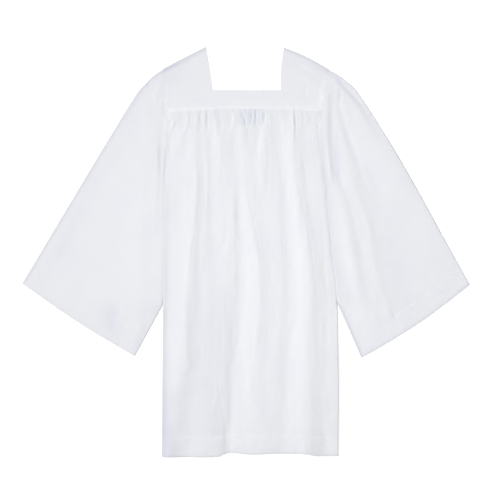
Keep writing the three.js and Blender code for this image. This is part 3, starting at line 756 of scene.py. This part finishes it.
def normals_of(surface, ring):
    """The upward normals of a grid of points. The columns of a ring go all round."""
    if ring:
        across = np.roll(surface, -1, axis=1) - np.roll(surface, 1, axis=1)
    else:
        across = np.gradient(surface, axis=1)
    along = np.gradient(surface, axis=0)
    normal = np.cross(across, along)
    return normal / np.maximum(np.linalg.norm(normal, axis=2, keepdims=True), 1e-9)


def shell_faces(rows, columns, ring):
    """The faces of a thin closed sheet, whose inner points follow its outer ones."""
    ids = np.arange(rows * columns).reshape(rows, columns)
    if ring:
        ids = np.concatenate([ids, ids[:, :1]], axis=1)
    back = ids + rows * columns

    def quads(a, b, c, d):
        return np.stack([a, b, c, d], axis=-1).reshape(-1, 4)

    faces = [
        quads(ids[:-1, :-1], ids[:-1, 1:], ids[1:, 1:], ids[1:, :-1]),
        quads(back[:-1, :-1], back[1:, :-1], back[1:, 1:], back[:-1, 1:]),
        quads(ids[0, :-1], back[0, :-1], back[0, 1:], ids[0, 1:]),
        quads(ids[-1, :-1], ids[-1, 1:], back[-1, 1:], back[-1, :-1]),
    ]
    if not ring:
        faces.append(quads(ids[:-1, 0], ids[1:, 0], back[1:, 0], back[:-1, 0]))
        faces.append(quads(ids[:-1, -1], back[:-1, -1], back[1:, -1], ids[1:, -1]))
    return np.concatenate(faces)


def new_piece(name, corners, faces, material):
    """An object made of corners in millimetres from the frame's origin, shaded smooth."""
    mesh = bpy.data.meshes.new(name)
    mesh.from_pydata((np.array(corners) * MM).tolist(), [], faces)
    mesh.shade_smooth()
    mesh.materials.append(material)
    piece = bpy.data.objects.new(name, mesh)
    bpy.context.scene.collection.objects.link(piece)
    return piece


def shell(name, surface, material, ring=False, turned=False, tints=None):
    """A thin closed sheet of cloth whose outer side is the grid of points."""
    sign = -1 if turned else 1
    inner = surface - sign * normals_of(surface, ring) * CLOTH
    corners = np.concatenate([surface.reshape(-1, 3), inner.reshape(-1, 3)])
    corners[:, :2] -= MIDDLE
    rows, columns = surface.shape[:2]
    faces = shell_faces(rows, columns, ring)
    if turned:
        faces = faces[:, ::-1]
    piece = new_piece(name, corners, faces.tolist(), material)
    piece.data.set_sharp_from_angle(angle=SHARP_ANGLE)
    for tint, field in (tints or {}).items():
        attribute = piece.data.attributes.new(tint, "FLOAT", "POINT")
        values = np.broadcast_to(field, (rows, columns)).reshape(-1)
        attribute.data.foreach_set("value", np.tile(values, 2).astype(np.float32))
    return piece


def stitch_ends(piece, line):
    """The two ends of each stitch along a line of points, on top of a piece."""
    tree = mesh_tree(piece.data)
    points = np.array(line, float) - MIDDLE
    steps = np.linalg.norm(np.diff(points, axis=0), axis=1)
    reach = np.concatenate([[0], np.cumsum(steps)])
    pitch, half = STITCH["pitch"], STITCH["length"] / 2
    for centre in np.arange(pitch, reach[-1] - pitch, pitch):
        ends = []
        for at in (centre - half, centre + half):
            x, y = (np.interp(at, reach, points[:, k]) for k in (0, 1))
            hit = tree.ray_cast(Vector((x * MM, y * MM, FAR)), Vector((0, 0, -1)))[0]
            if hit is not None:
                ends.append(np.array(hit) / MM)
        if len(ends) == 2:
            yield ends


def stitch_corners(start, end):
    """The corners of a stitch, ring after ring."""
    length = np.linalg.norm(end - start)
    way = (end - start) / length
    right = np.cross(way, [0, 0, 1])
    right /= np.linalg.norm(right)
    turns = 2 * np.pi * np.arange(STITCH["sides"]) / STITCH["sides"]
    out = np.outer(np.cos(turns), right)
    out += STITCH["flatness"] * np.outer(np.sin(turns), np.cross(right, way))
    middle = (start + end) / 2
    for share, wide in STITCH_RINGS:
        yield from middle + way * share * length + out * wide * STITCH["width"] / 2


def stitch_faces(first):
    """The faces of a stitch, whose corners are counted from the first."""
    sides, last = STITCH["sides"], first + (len(STITCH_RINGS) - 1) * STITCH["sides"]
    for ring in range(first, last, sides):
        for k in range(sides):
            a, b = ring + k, ring + (k + 1) % sides
            yield a, a + sides, b + sides, b
    yield list(range(first, first + sides))
    yield list(reversed(range(last, last + sides)))


def stitches(name, piece, line, material):
    """A row of stitches laid on a piece along a line of points, as one mesh."""
    corners, faces = [], []
    for start, end in stitch_ends(piece, line):
        faces += stitch_faces(len(corners))
        corners += stitch_corners(start, end)
    thread = new_piece(name, corners, faces, material)
    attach(thread, "root")
    return thread


# ------------------------ the body panels


def front_hem(x):
    """The wavy lower edge of the front."""
    return HEM_LOWEST + np.interp(x, HEM_LINE["x"], HEM_LINE["rise"])


def back_hem(x):
    """The straight lower edge of the back."""
    return np.full(x.shape, HEM_LOWEST + BACK_HEM_RISE)


def panel_grid(columns, rows, hem, lap):
    """Points of a body panel from its hem up to the yoke seam and a lap beyond it."""
    share, up = np.meshgrid(columns, rows)
    seam = yoke_seam(share)
    foot = hem(SIDES["left"][0] + (SIDES["right"][0] - SIDES["left"][0]) * share)
    y = foot + (seam + lap - foot) * up
    x, from_left, from_right = between_edges(share, y)
    return x, y, seam, from_left, from_right


def in_solid(x, y, foot, seam):
    """The points of a panel moved inside its solid, to read the height there."""
    sides, ends = READ_INSIDE["sides"], READ_INSIDE["ends"]
    x = np.clip(x, side_x("left", y) + sides, side_x("right", y) - sides)
    return x, np.clip(y, foot + ends, seam - ends)


def free_side(y):
    """1 where the body's sides are clear of the sleeves, and 0 where they meet."""
    return 1 - smooth(y, *FREE_SIDES)


def front_height(x, y, seam, from_hem):
    """How high the front lies: its solid's folds, the gathers, the creases and the hem."""
    upper_side = solid_height("body_front", *in_solid(x, y, front_hem(x), seam))
    z = averaged(upper_side, AVERAGED_ROWS["front"])
    z += (SEAM_CREST - z) * (1 - smooth(seam - y, *CREST_FALLS))
    z += creases(x, y, GATHERS) * (1 + hills(x, y, "gathers"))
    z += creases(x, y, FRONT_CREASES) + hills(x, y, "front")
    shows = np.interp(x, HEM_SHOWS["x"], HEM_SHOWS["share"])
    z += turned_hem("front hem", x, y, from_hem, shows)
    return z - FRONT_LAP * smooth(y - seam, -0.5, 1.2)


def front_sides(z, x, y, seam, from_left, from_right):
    """The front's height, brought down at its free sides and to the sleeves beside it."""
    foot = back_hem(x) + READ_INSIDE["ends"]
    underside = solid_height("body_back", *in_solid(x, y, foot, seam), True)
    above_back = averaged(underside, AVERAGED_ROWS["front"]) + LIE + 2 * CLOTH
    above_back += FRONT_SIDES["above back"]
    above_back = np.maximum(above_back, z - FRONT_SIDES["most"])
    sleeve_top = np.where(from_left < from_right, pushed_up("left", y), pushed_up("right", y))
    free, sewn = free_side(y), smooth(y, *FRONT_SEWN_FROM)
    low = above_back * free + (sleeve_top - FRONT_SIDES["under sleeve"]) * (1 - free)
    drop = (z - low) * (1 - sewn) + FRONT_SIDES["sewn"] * sewn
    edge = np.minimum(from_left, from_right)
    full_height = rolled(edge, FRONT_SIDE_WIDTHS["free"]) * free
    full_height += smooth(edge, 0, FRONT_SIDE_WIDTHS["beside sleeve"]) * (1 - free)
    return z - drop * (1 - full_height)


def over_label(x, y):
    """1 where the label lies behind the front, and 0 beside it."""
    beside = (LABEL["width"] + LABEL_FADE) / 2 - np.abs(x - LABEL["x"])
    above = (LABEL["height"] + LABEL_FADE) / 2 - np.abs(y - LABEL["y"])
    return smooth(beside, 0, LABEL_FADE) * smooth(above, 0, LABEL_FADE)


def body_front(material):
    """The gathered front, and its height along the yoke seam."""
    columns = graded((0.012, 4), (0.988, 184), (1, 4))
    rows = graded((0.003, 2), (0.05, 16), (0.062, 12), (0.1, 10), (0.8, 122), (0.994, 62),
                  (1, LAP_ROWS))
    x, y, seam, from_left, from_right = panel_grid(columns, rows, front_hem, LAP)
    from_hem = y - front_hem(x)
    z = front_height(x, y, seam, from_hem)
    z = beside_armholes(z, x, y, from_left, from_right)
    z = front_sides(z, x, y, seam, from_left, from_right)
    z -= roll_off("hem", from_hem)
    # Painted shade: the front is darker along its free sides, its hem and below the yoke seam, in the
    # armhole seams and in its folds and corners. The label tint is the label showing through.
    sides = edge_shade({"body left": from_left, "body right": from_right}) * free_side(y)
    ends = edge_shade({"hem": from_hem, "yoke seam": seam - y})
    tints = {
        "edge": np.maximum(sides, ends) + creases(x, y, SEAM_SHADE),
        "painted_shade": creases(x, y, PAINTED_SHADES),
        "label": over_label(x, y),
    }
    piece = shell("front_cloth", np.stack([x, y, z], -1), material, tints=tints)
    lip = -1 - LAP_ROWS
    return piece, (x[lip], z[lip])


def body_back(material):
    """The back, with the front's folds and gathers mirrored and pressed flatter."""
    columns = graded((0.02, 2), (0.98, 120), (1, 2))
    rows = graded((0.08, 14), (0.8, 80), (1, 40))
    x, y, seam, from_left, from_right = panel_grid(columns, rows, back_hem, -SEAM_GAP)
    underside = solid_height("body_back", *in_solid(x, y, back_hem(x), seam), True)
    z = averaged(underside, AVERAGED_ROWS["back"]) + LIE + CLOTH
    folds = BACK["folds"] * np.maximum(creases(-x, y, FRONT_CREASES), 0)
    gathers = BACK["gathers"] * np.abs(creases(-x, y, GATHERS))
    inland = smooth(np.minimum(from_left, from_right), 0, BACK["inland"])
    z += (BACK["off"] + hills(x, y, "back") + folds) * inland
    z += gathers * smooth(seam - y, 0, BACK["gathers from"])
    z -= BACK_GROOVE["depth"] * near(y - HEM_LOWEST - BODY_HEM, BACK_GROOVE["width"])
    return shell("back_cloth", np.stack([x, y, z], -1), material)


# ------------------------ the yoke


def yoke_waves(x, y):
    """What the strip and the shoulders have in common: creases and soft hills."""
    return creases(x, y, YOKE_CREASES) + hills(x, y, "yoke")


def band_top(x):
    """The strip's upper edge: the neck's foot, and the shoulder seams beside it."""
    left = smooth(NECK["left"] + 1 - x, 0, 2) * (SHOULDER_SEAM["left"] - NECK_FOOT)
    right = smooth(x - NECK["right"] + 1, 0, 2) * (SHOULDER_SEAM["right"] - NECK_FOOT)
    return NECK_FOOT + left + right


def front_band(material, front_lip):
    """The yoke's front strip, from over the gathered front up to the neck."""
    columns = graded((0.012, 3), (0.988, 200), (1, 3))
    rows = graded((0.03, 3), (0.45, 18), (0.92, 14), (1, 8))
    share, up = np.meshgrid(columns, rows)
    seam = yoke_seam(share)
    y = seam + (band_top(between_edges(share, seam)[0]) - seam) * up
    x, from_left, from_right = between_edges(share, y)
    from_seam = y - seam
    lip = np.interp(x, *front_lip) + BAND["above"]
    z = YOKE_HEIGHT + (lip - YOKE_HEIGHT) * (1 - smooth(from_seam, 0, BAND["ramp"]))
    z += (PUFF["height"] + hills(x, y, "puff")) * near(from_seam - PUFF["at"], PUFF["reach"])
    z += creases(x, y, SHOULDER_SEAM_DENTS) + yoke_waves(x, y)
    at_neck = smooth(NECK["right"] - 2 - np.abs(x), 0, 3)
    from_top = band_top(x) - y
    z -= roll_off("neck", from_top) * at_neck + roll_off("shoulder seam", from_top)
    z = beside_armholes(z, x, y, from_left, from_right)
    z -= roll_off("yoke end", np.minimum(from_left, from_right))
    # Painted light: the strip is lighter just above the seam, on its crest, partly from the seam allowances
    # folded under it.
    tints = {"turnings_and_painted_light": near(from_seam - TURNINGS_AND_PAINTED_LIGHT["at"], TURNINGS_AND_PAINTED_LIGHT["reach"])}
    return shell("front_yoke_cloth", np.stack([x, y, z], -1), material, tints=tints)


def back_band(material):
    """The yoke's back strip, which the others lie on."""
    share, up = np.meshgrid(graded((1, 100)), graded((1, 14)))
    seam = yoke_seam(share)
    y = seam + (NECK_FOOT - seam) * up
    x = between_edges(share, y)[0]
    z = LIE + CLOTH + BACK_YOKE_OFF + hills(x, y, "back yoke")
    return shell("back_yoke_cloth", np.stack([x, y, z], -1), material)


def shoulder_line(side, across):
    """The shoulder line, from the armhole to the neck."""
    outer = np.array([side_x(side, SHOULDER), SHOULDER])
    line = outer + (np.array(NECK_POINTS[side]) - outer) * across[:, None]
    line[:, 1] += SHOULDER_BOW[side] * np.sin(np.pi * across)
    return line


def shoulder_foot(side, across, y, top):
    """The lower edge of a shoulder piece at a height, from the armhole to the neck."""
    slope = (top[-1, 0] - NECK[side]) / (top[-1, 1] - NECK_FOOT)
    neck_x = NECK[side] + slope * (y - NECK_FOOT)
    x = side_x(side, y) + (neck_x - side_x(side, y)) * across
    return np.column_stack([x, np.full(across.size, y)])


def shoulder_row(side, across, foot, top, up):
    """Points across a shoulder piece, at a share of the way up from its foot."""
    x, y = (foot + (top - foot) * up).T
    armhole = side_x(side, y) - (top[0, 0] * up + foot[0, 0] * (1 - up))
    above_foot = np.clip((y - NECK_FOOT) / (top[-1, 1] - NECK_FOOT), 0, 1)
    neck = -OUTWARD[side] * NECK_BOW[side] * np.sin(np.pi * above_foot)
    return x + armhole * (1 - across) ** 4 + neck * across**6, y


def shoulder_height(side, across, x, y):
    """How high the upper side of a shoulder piece lies."""
    z = SHOULDER_HEIGHT - SHOULDER_DIP + yoke_waves(x, y)
    beside = armhole_height(side, "body", x, y)
    z += (beside - z) * (1 - smooth(np.abs(x - side_x(side, y)), 0, ARMHOLE_EASE))
    return z - roll_off("neck side", (1 - across) * SHOULDER_WIDTH)


def shoulder(side, material):
    """A shoulder piece: up the front, over the shoulder line and down the back."""
    across = graded((0.02, 3), (0.98, 56), (1, 3))
    upper = graded((0.94, 44), (1, 10))
    top = shoulder_line(side, across)
    low_front, low_back = SHOULDER_SEAM[side] - LAP, NECK_FOOT + SEAM_GAP
    middle = (SHOULDER_HEIGHT + LIE + CLOTH) / 2
    rows, gaps = [], []
    for in_front, low_y, ups in ((True, low_front, upper), (False, low_back, upper[::-1][1:])):
        foot = shoulder_foot(side, across, low_y, top)
        for up in ups:
            x, y = shoulder_row(side, across, foot, top, up)
            z = shoulder_height(side, across, x, y) if in_front else LIE + CLOTH
            gap = np.linalg.norm(top - foot, axis=1) * (1 - up)
            rows.append(np.column_stack([x, y, middle + (z - middle) * rolled(gap, FOLD_RADIUS)]))
            gaps.append(gap)
    surface = np.array(rows)
    # Painted shade along the fold over the shoulder and in the hollows beside it.
    tints = {
        "edge": edge_shade({f"shoulder {side}": np.array(gaps)}),
        "painted_shade": creases(surface[..., 0], surface[..., 1], PAINTED_SHADES),
    }
    return shell(f"shoulder_{side}", surface, material, turned=side == "right", tints=tints)


# ------------------------ the sleeves


def fold_marks(side):
    """How far from the cuff each point of the outer fold lies."""
    steps = np.linalg.norm(np.diff(SLEEVES[side]["fold"], axis=0), axis=1)
    return np.concatenate([[0], np.cumsum(steps)])


def across_sleeve(side, from_cuff, share):
    """Points at shares of the way from outer fold to underarm, and how long that way is."""
    marks = fold_marks(side)
    fold, under = (
        np.stack([np.interp(from_cuff, marks, column) for column in np.transpose(line)], -1)
        for line in (SLEEVES[side]["fold"], SLEEVES[side]["under"])
    )
    span = np.linalg.norm(under - fold, axis=1)[:, None]
    way = (under - fold) / span
    out = OUTWARD[side] * np.stack([-way[:, 1], way[:, 0]], -1)
    fade = 1 - smooth(from_cuff, SLEEVE_HEM, marks[1])
    bulge = SLEEVES[side]["bulge"] * fade[:, None] * np.sin(np.pi * share)
    spots = fold[:, None] + (under - fold)[:, None] * share[..., None]
    return spots + out[:, None] * bulge[..., None], span


def sleeve_folds(side, x, y):
    """The sleeve's creases and soft hills."""
    return creases(x, y, SLEEVE_CREASES[side]) + hills(x, y, f"sleeve {side}")


def sleeve_height(side, x, y, from_cuff, share):
    """How high the sleeve's upper side lies at each point."""
    body_x = side_x(side, y)
    clear = (x - body_x) * OUTWARD[side]
    loft = LOFT["height"] * np.sqrt(np.sin(np.pi * share)) * smooth(clear, *LOFT["beside body"])
    pushed = pushed_up(side, y) - SLEEVE_LEVEL - sleeve_folds(side, body_x, y)
    pushed *= 1 - smooth(clear, 3, BESIDE_REACH[side])
    shown = np.maximum(smooth(clear, *HIDDEN["beside body"]), smooth(y, *HIDDEN["armpit"]))
    z = SLEEVE_LEVEL + (loft + sleeve_folds(side, x, y) + pushed) * shown
    level = armhole_height(side, "sleeve", x, y)
    z += (level - z) * smooth(y, *SEWN_FROM) * (1 - smooth(np.abs(clear), *ARMHOLE_SHELF[side]))
    shows = np.interp(share, CUFF_SHOWS[side]["share"], CUFF_SHOWS[side]["shows"])
    return z + turned_hem("cuff", x, y, from_cuff, shows)


def sleeve_layer(side, reach, shares, on_top):
    """The upper or lower side of the tube, and how far it is from its two folds."""
    whole = fold_marks(side)[-1]
    from_cuff = (reach * whole)[:, None]
    share = np.tile(shares, (reach.size, 1))
    spots, span = across_sleeve(side, reach * whole, share)
    x, y = spots[..., 0], spots[..., 1]
    bow_followed = np.interp(reach, BOW_FOLLOWED["share"], BOW_FOLLOWED["bow"])[:, None]
    x = x + armhole_bow(side, y) * bow_followed
    from_fold, from_under = share * span, (1 - share) * span
    gap = np.minimum(from_fold, from_under)
    if on_top:
        x = x - OUTWARD[side] * LAP * smooth(reach, *HEAD_LAP)[:, None]
        z = sleeve_height(side, x, y, from_cuff, share)
        z -= roll_off("sleeve head", whole - from_cuff) + roll_off("cuff", from_cuff)
    else:
        waves = LOWER_SIDE["height"] + hills(x, y, "under sleeve")
        z = LIE + CLOTH + waves * smooth(gap, 0, LOWER_SIDE["from folds"])
    z = SLEEVE_FOLDS + (z - SLEEVE_FOLDS) * rolled(gap, FOLD_RADIUS)
    return np.stack([x, y, z], -1), from_fold, from_under


def sleeve(side, material):
    """A sleeve: a flattened tube, open at the cuff and at the armhole."""
    reach = graded((0.004, 2), (0.065, 12), (0.085, 8), (0.99, 118), (1, 4))
    upper = graded((0.006, 3), (0.03, 4), (0.97, 106), (0.994, 4), (1, 3))
    lower = graded((0.01, 2), (0.99, 40), (1, 2))
    over, from_fold, from_under = sleeve_layer(side, reach, upper, True)
    beneath = sleeve_layer(side, reach, lower[1:-1][::-1], False)[0]
    marks = fold_marks(side)
    from_cuff = (reach * marks[-1])[:, None]
    low_part = 1 - smooth(from_cuff, marks[1] - 10, marks[1] + 10)
    # Painted shade along the outer fold, the cuff and the underarm, in the armhole seams and in the
    # sleeve's hollows; the lower side has none.
    edges = {
        f"sleeve {side}": from_fold,
        f"cuff {side}": from_cuff,
        f"underarm {side}": from_under / np.maximum(low_part, 0.01),
    }
    x, y = over[..., 0], over[..., 1]
    clean = np.zeros(beneath.shape[:2])
    tints = {
        "edge": np.hstack([edge_shade(edges) + creases(x, y, SEAM_SHADE), clean]),
        "painted_shade": np.hstack([creases(x, y, PAINTED_SHADES), clean]),
    }
    surface = np.concatenate([over, beneath], axis=1)
    name = f"sleeve_cloth_{side}"
    return shell(name, surface, material, ring=True, turned=side == "right", tints=tints)


# ------------------------ the label


def label(material):
    """The bare label, which hangs from the yoke seam between the two panels."""
    share, up = np.meshgrid(graded((1, 40)), graded((1, 26)))
    x = LABEL["x"] + LABEL["width"] * (share - 0.5)
    y = LABEL["y"] + LABEL["height"] * (up - 0.5)
    low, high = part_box("label")
    z = (low.z + high.z) / 2 / MM + CLOTH / 2 + hills(x, y, "label")
    return shell("label_cloth", np.stack([x, y, z], -1), material)


# ------------------------ materials


def new_material(name, look):
    """A material whose shader has the given look, and the functions that add to it."""
    material = bpy.data.materials.new(name)
    material.use_nodes = True
    nodes = material.node_tree.nodes
    shader = nodes["Principled BSDF"]
    for socket, value in look.items():
        shader.inputs[socket].default_value = value

    def add(kind, **settings):
        node = nodes.new(kind)
        for key, value in settings.items():
            if hasattr(node, key):
                setattr(node, key, value)
            else:
                node.inputs[key].default_value = value
        return node

    return material, shader, add, material.node_tree.links.new


def woven(add, link, place):
    """The height of the threads of a plain weave."""
    weave = add("ShaderNodeMath", operation="MULTIPLY")
    for socket, direction in enumerate("XY"):
        threads = add("ShaderNodeTexWave", bands_direction=direction, **THREADS)
        link(place.outputs["Object"], threads.inputs["Vector"])
        link(threads.outputs["Fac"], weave.inputs[socket])
    return weave.outputs[0]


def noise(add, link, place, settings):
    """Soft noise between 0 and 1."""
    texture = add("ShaderNodeTexNoise", **settings)
    link(place.outputs["Object"], texture.inputs["Vector"])
    return texture.outputs["Fac"]


def relief(add, link, weave, slubs):
    """The normal of cloth with such a weave and such slubs."""
    height = add("ShaderNodeMath", operation="ADD")
    link(weave, height.inputs[0])
    link(slubs, height.inputs[1])
    bump = add("ShaderNodeBump", **RELIEF)
    link(height.outputs[0], bump.inputs["Height"])
    return bump.outputs["Normal"]


def mottled(add, link, mottle, weave, tone):
    """The cloth's own colour, between its two whites and a little darker in the weave."""
    whites = add("ShaderNodeValToRGB")
    for stop, (position, white) in zip(whites.color_ramp.elements, WHITES):
        stop.position = position
        stop.color = (*(tone * channel for channel in white), 1)
    link(mottle, whites.inputs["Fac"])
    threads = add("ShaderNodeMix", data_type="RGBA", blend_type="MULTIPLY", Factor=THREADS_DARKEN)
    link(whites.outputs["Color"], threads.inputs["A"])
    link(weave, threads.inputs["B"])
    return threads.outputs["Result"]


def tinted(add, link, colour):
    """The colour with the tints that the meshes carry: painted shade, painted light and the label showing
    through.
    """
    for tint, strength, shade in TINTS:
        where = add("ShaderNodeAttribute", attribute_name=tint)
        depth = add("ShaderNodeMath", operation="MULTIPLY")
        depth.inputs[1].default_value = strength
        link(where.outputs["Fac"], depth.inputs[0])
        shaded = add("ShaderNodeMix", data_type="RGBA", B=shade)
        link(depth.outputs[0], shaded.inputs["Factor"])
        link(colour, shaded.inputs["A"])
        colour = shaded.outputs["Result"]
    return colour


def cloth_material(name, tone=1.0):
    """Fine white cotton: a plain weave, slubs, a soft sheen, a faint blue tone and painted shade and light.
    """
    material, shader, add, link = new_material(name, CLOTH_LOOK)
    place = add("ShaderNodeTexCoord")
    weave = woven(add, link, place)
    slubs = noise(add, link, place, SLUBS)
    mottle = noise(add, link, place, MOTTLE)
    link(relief(add, link, weave, slubs), shader.inputs["Normal"])
    colour = mottled(add, link, mottle, weave, tone)
    link(tinted(add, link, colour), shader.inputs["Base Color"])
    return material


# ------------------------ the scene


def make_camera():
    """A camera straight above, that sees the given width of the floor."""
    camera = bpy.data.objects.new("camera", bpy.data.cameras.new("camera"))
    camera.data.sensor_width = CAMERA["sensor"]
    camera.data.lens = CAMERA["sensor"] * CAMERA["height"] / CAMERA["sees"]
    camera.location = (*CAMERA["over"] * MM, CAMERA["height"])
    bpy.context.scene.collection.objects.link(camera)
    bpy.context.scene.camera = camera


def area_light(name, place, target, size, power):
    """A round lamp, turned to its target."""
    lamp = bpy.data.lights.new(name, "AREA")
    lamp.shape = "DISK"
    lamp.size = size
    lamp.energy = power
    light = bpy.data.objects.new(name, lamp)
    light.location = place
    light.rotation_euler = (Vector(target) - Vector(place)).to_track_quat("-Z", "Y").to_euler()
    bpy.context.scene.collection.objects.link(light)


def make_light():
    """A white studio with its lamps."""
    world = bpy.data.worlds.new("studio")
    world.use_nodes = True
    background = world.node_tree.nodes["Background"]
    background.inputs["Color"].default_value = (1, 1, 1, 1)
    background.inputs["Strength"].default_value = WORLD_LIGHT
    bpy.context.scene.world = world
    for lamp in LAMPS:
        area_light(**lamp)
    bpy.context.scene.view_settings.view_transform = "Standard"


def make_floor():
    """A plain pale floor."""
    bpy.ops.mesh.primitive_plane_add(size=FLOOR["size"], location=(0, 0, FLOOR["z"]))
    floor = bpy.context.object
    floor.name = "floor"
    floor.data.materials.append(new_material("pale floor", FLOOR_LOOK)[0])


def dress(piece, node):
    """The piece stands for the node: it hangs from the root, and the node's solid is hidden."""
    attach(piece, "root")
    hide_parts(node)


def hem_line():
    """Where the front hem is stitched, just below its upper line."""
    x = np.linspace(SIDES["left"][0] + 4, SIDES["right"][0] - 4, STITCH_POINTS)
    return np.column_stack([x, front_hem(x) + BODY_HEM - STITCH_INSET])


def cuff_line(side):
    """Where a sleeve's hem is stitched, all across its upper side."""
    share = np.linspace(0.015, 0.985, STITCH_POINTS)[None]
    return across_sleeve(side, np.array([SLEEVE_HEM - STITCH_INSET]), share)[0][0]


def yoke_line():
    """Where the yoke is stitched over the gathers."""
    share = np.linspace(0.01, 0.99, STITCH_POINTS)
    seam = yoke_seam(share)
    return np.column_stack([between_edges(share, seam)[0], seam + YOKE_STITCH_INSET])


def main():
    """The scene, with every solid dressed in its cloth."""
    cloth = cloth_material("surplice cotton")
    thread = cloth_material("cotton thread", tone=1.04)
    satin = cloth_material("label satin", tone=1.03)
    make_camera()
    make_light()
    make_floor()

    back = body_back(cloth)
    dress(back, "body_back")
    front, front_lip = body_front(cloth)
    hem = stitches("front_hem_stitches", front, hem_line(), thread)
    dress(front, "body_front")
    dress(label(satin), "label")
    dress(back_band(cloth), "yoke_band_back")
    band = front_band(cloth, front_lip)
    seam = stitches("yoke_stitches", band, yoke_line(), thread)
    dress(band, "yoke_band_front")
    for side in ("left", "right"):
        dress(shoulder(side, cloth), f"strap_{side}")
        tube = sleeve(side, cloth)
        line = stitches(f"cuff_stitches_{side}", tube, cuff_line(side), thread)
        dress(tube, f"sleeve_{side}")


main()
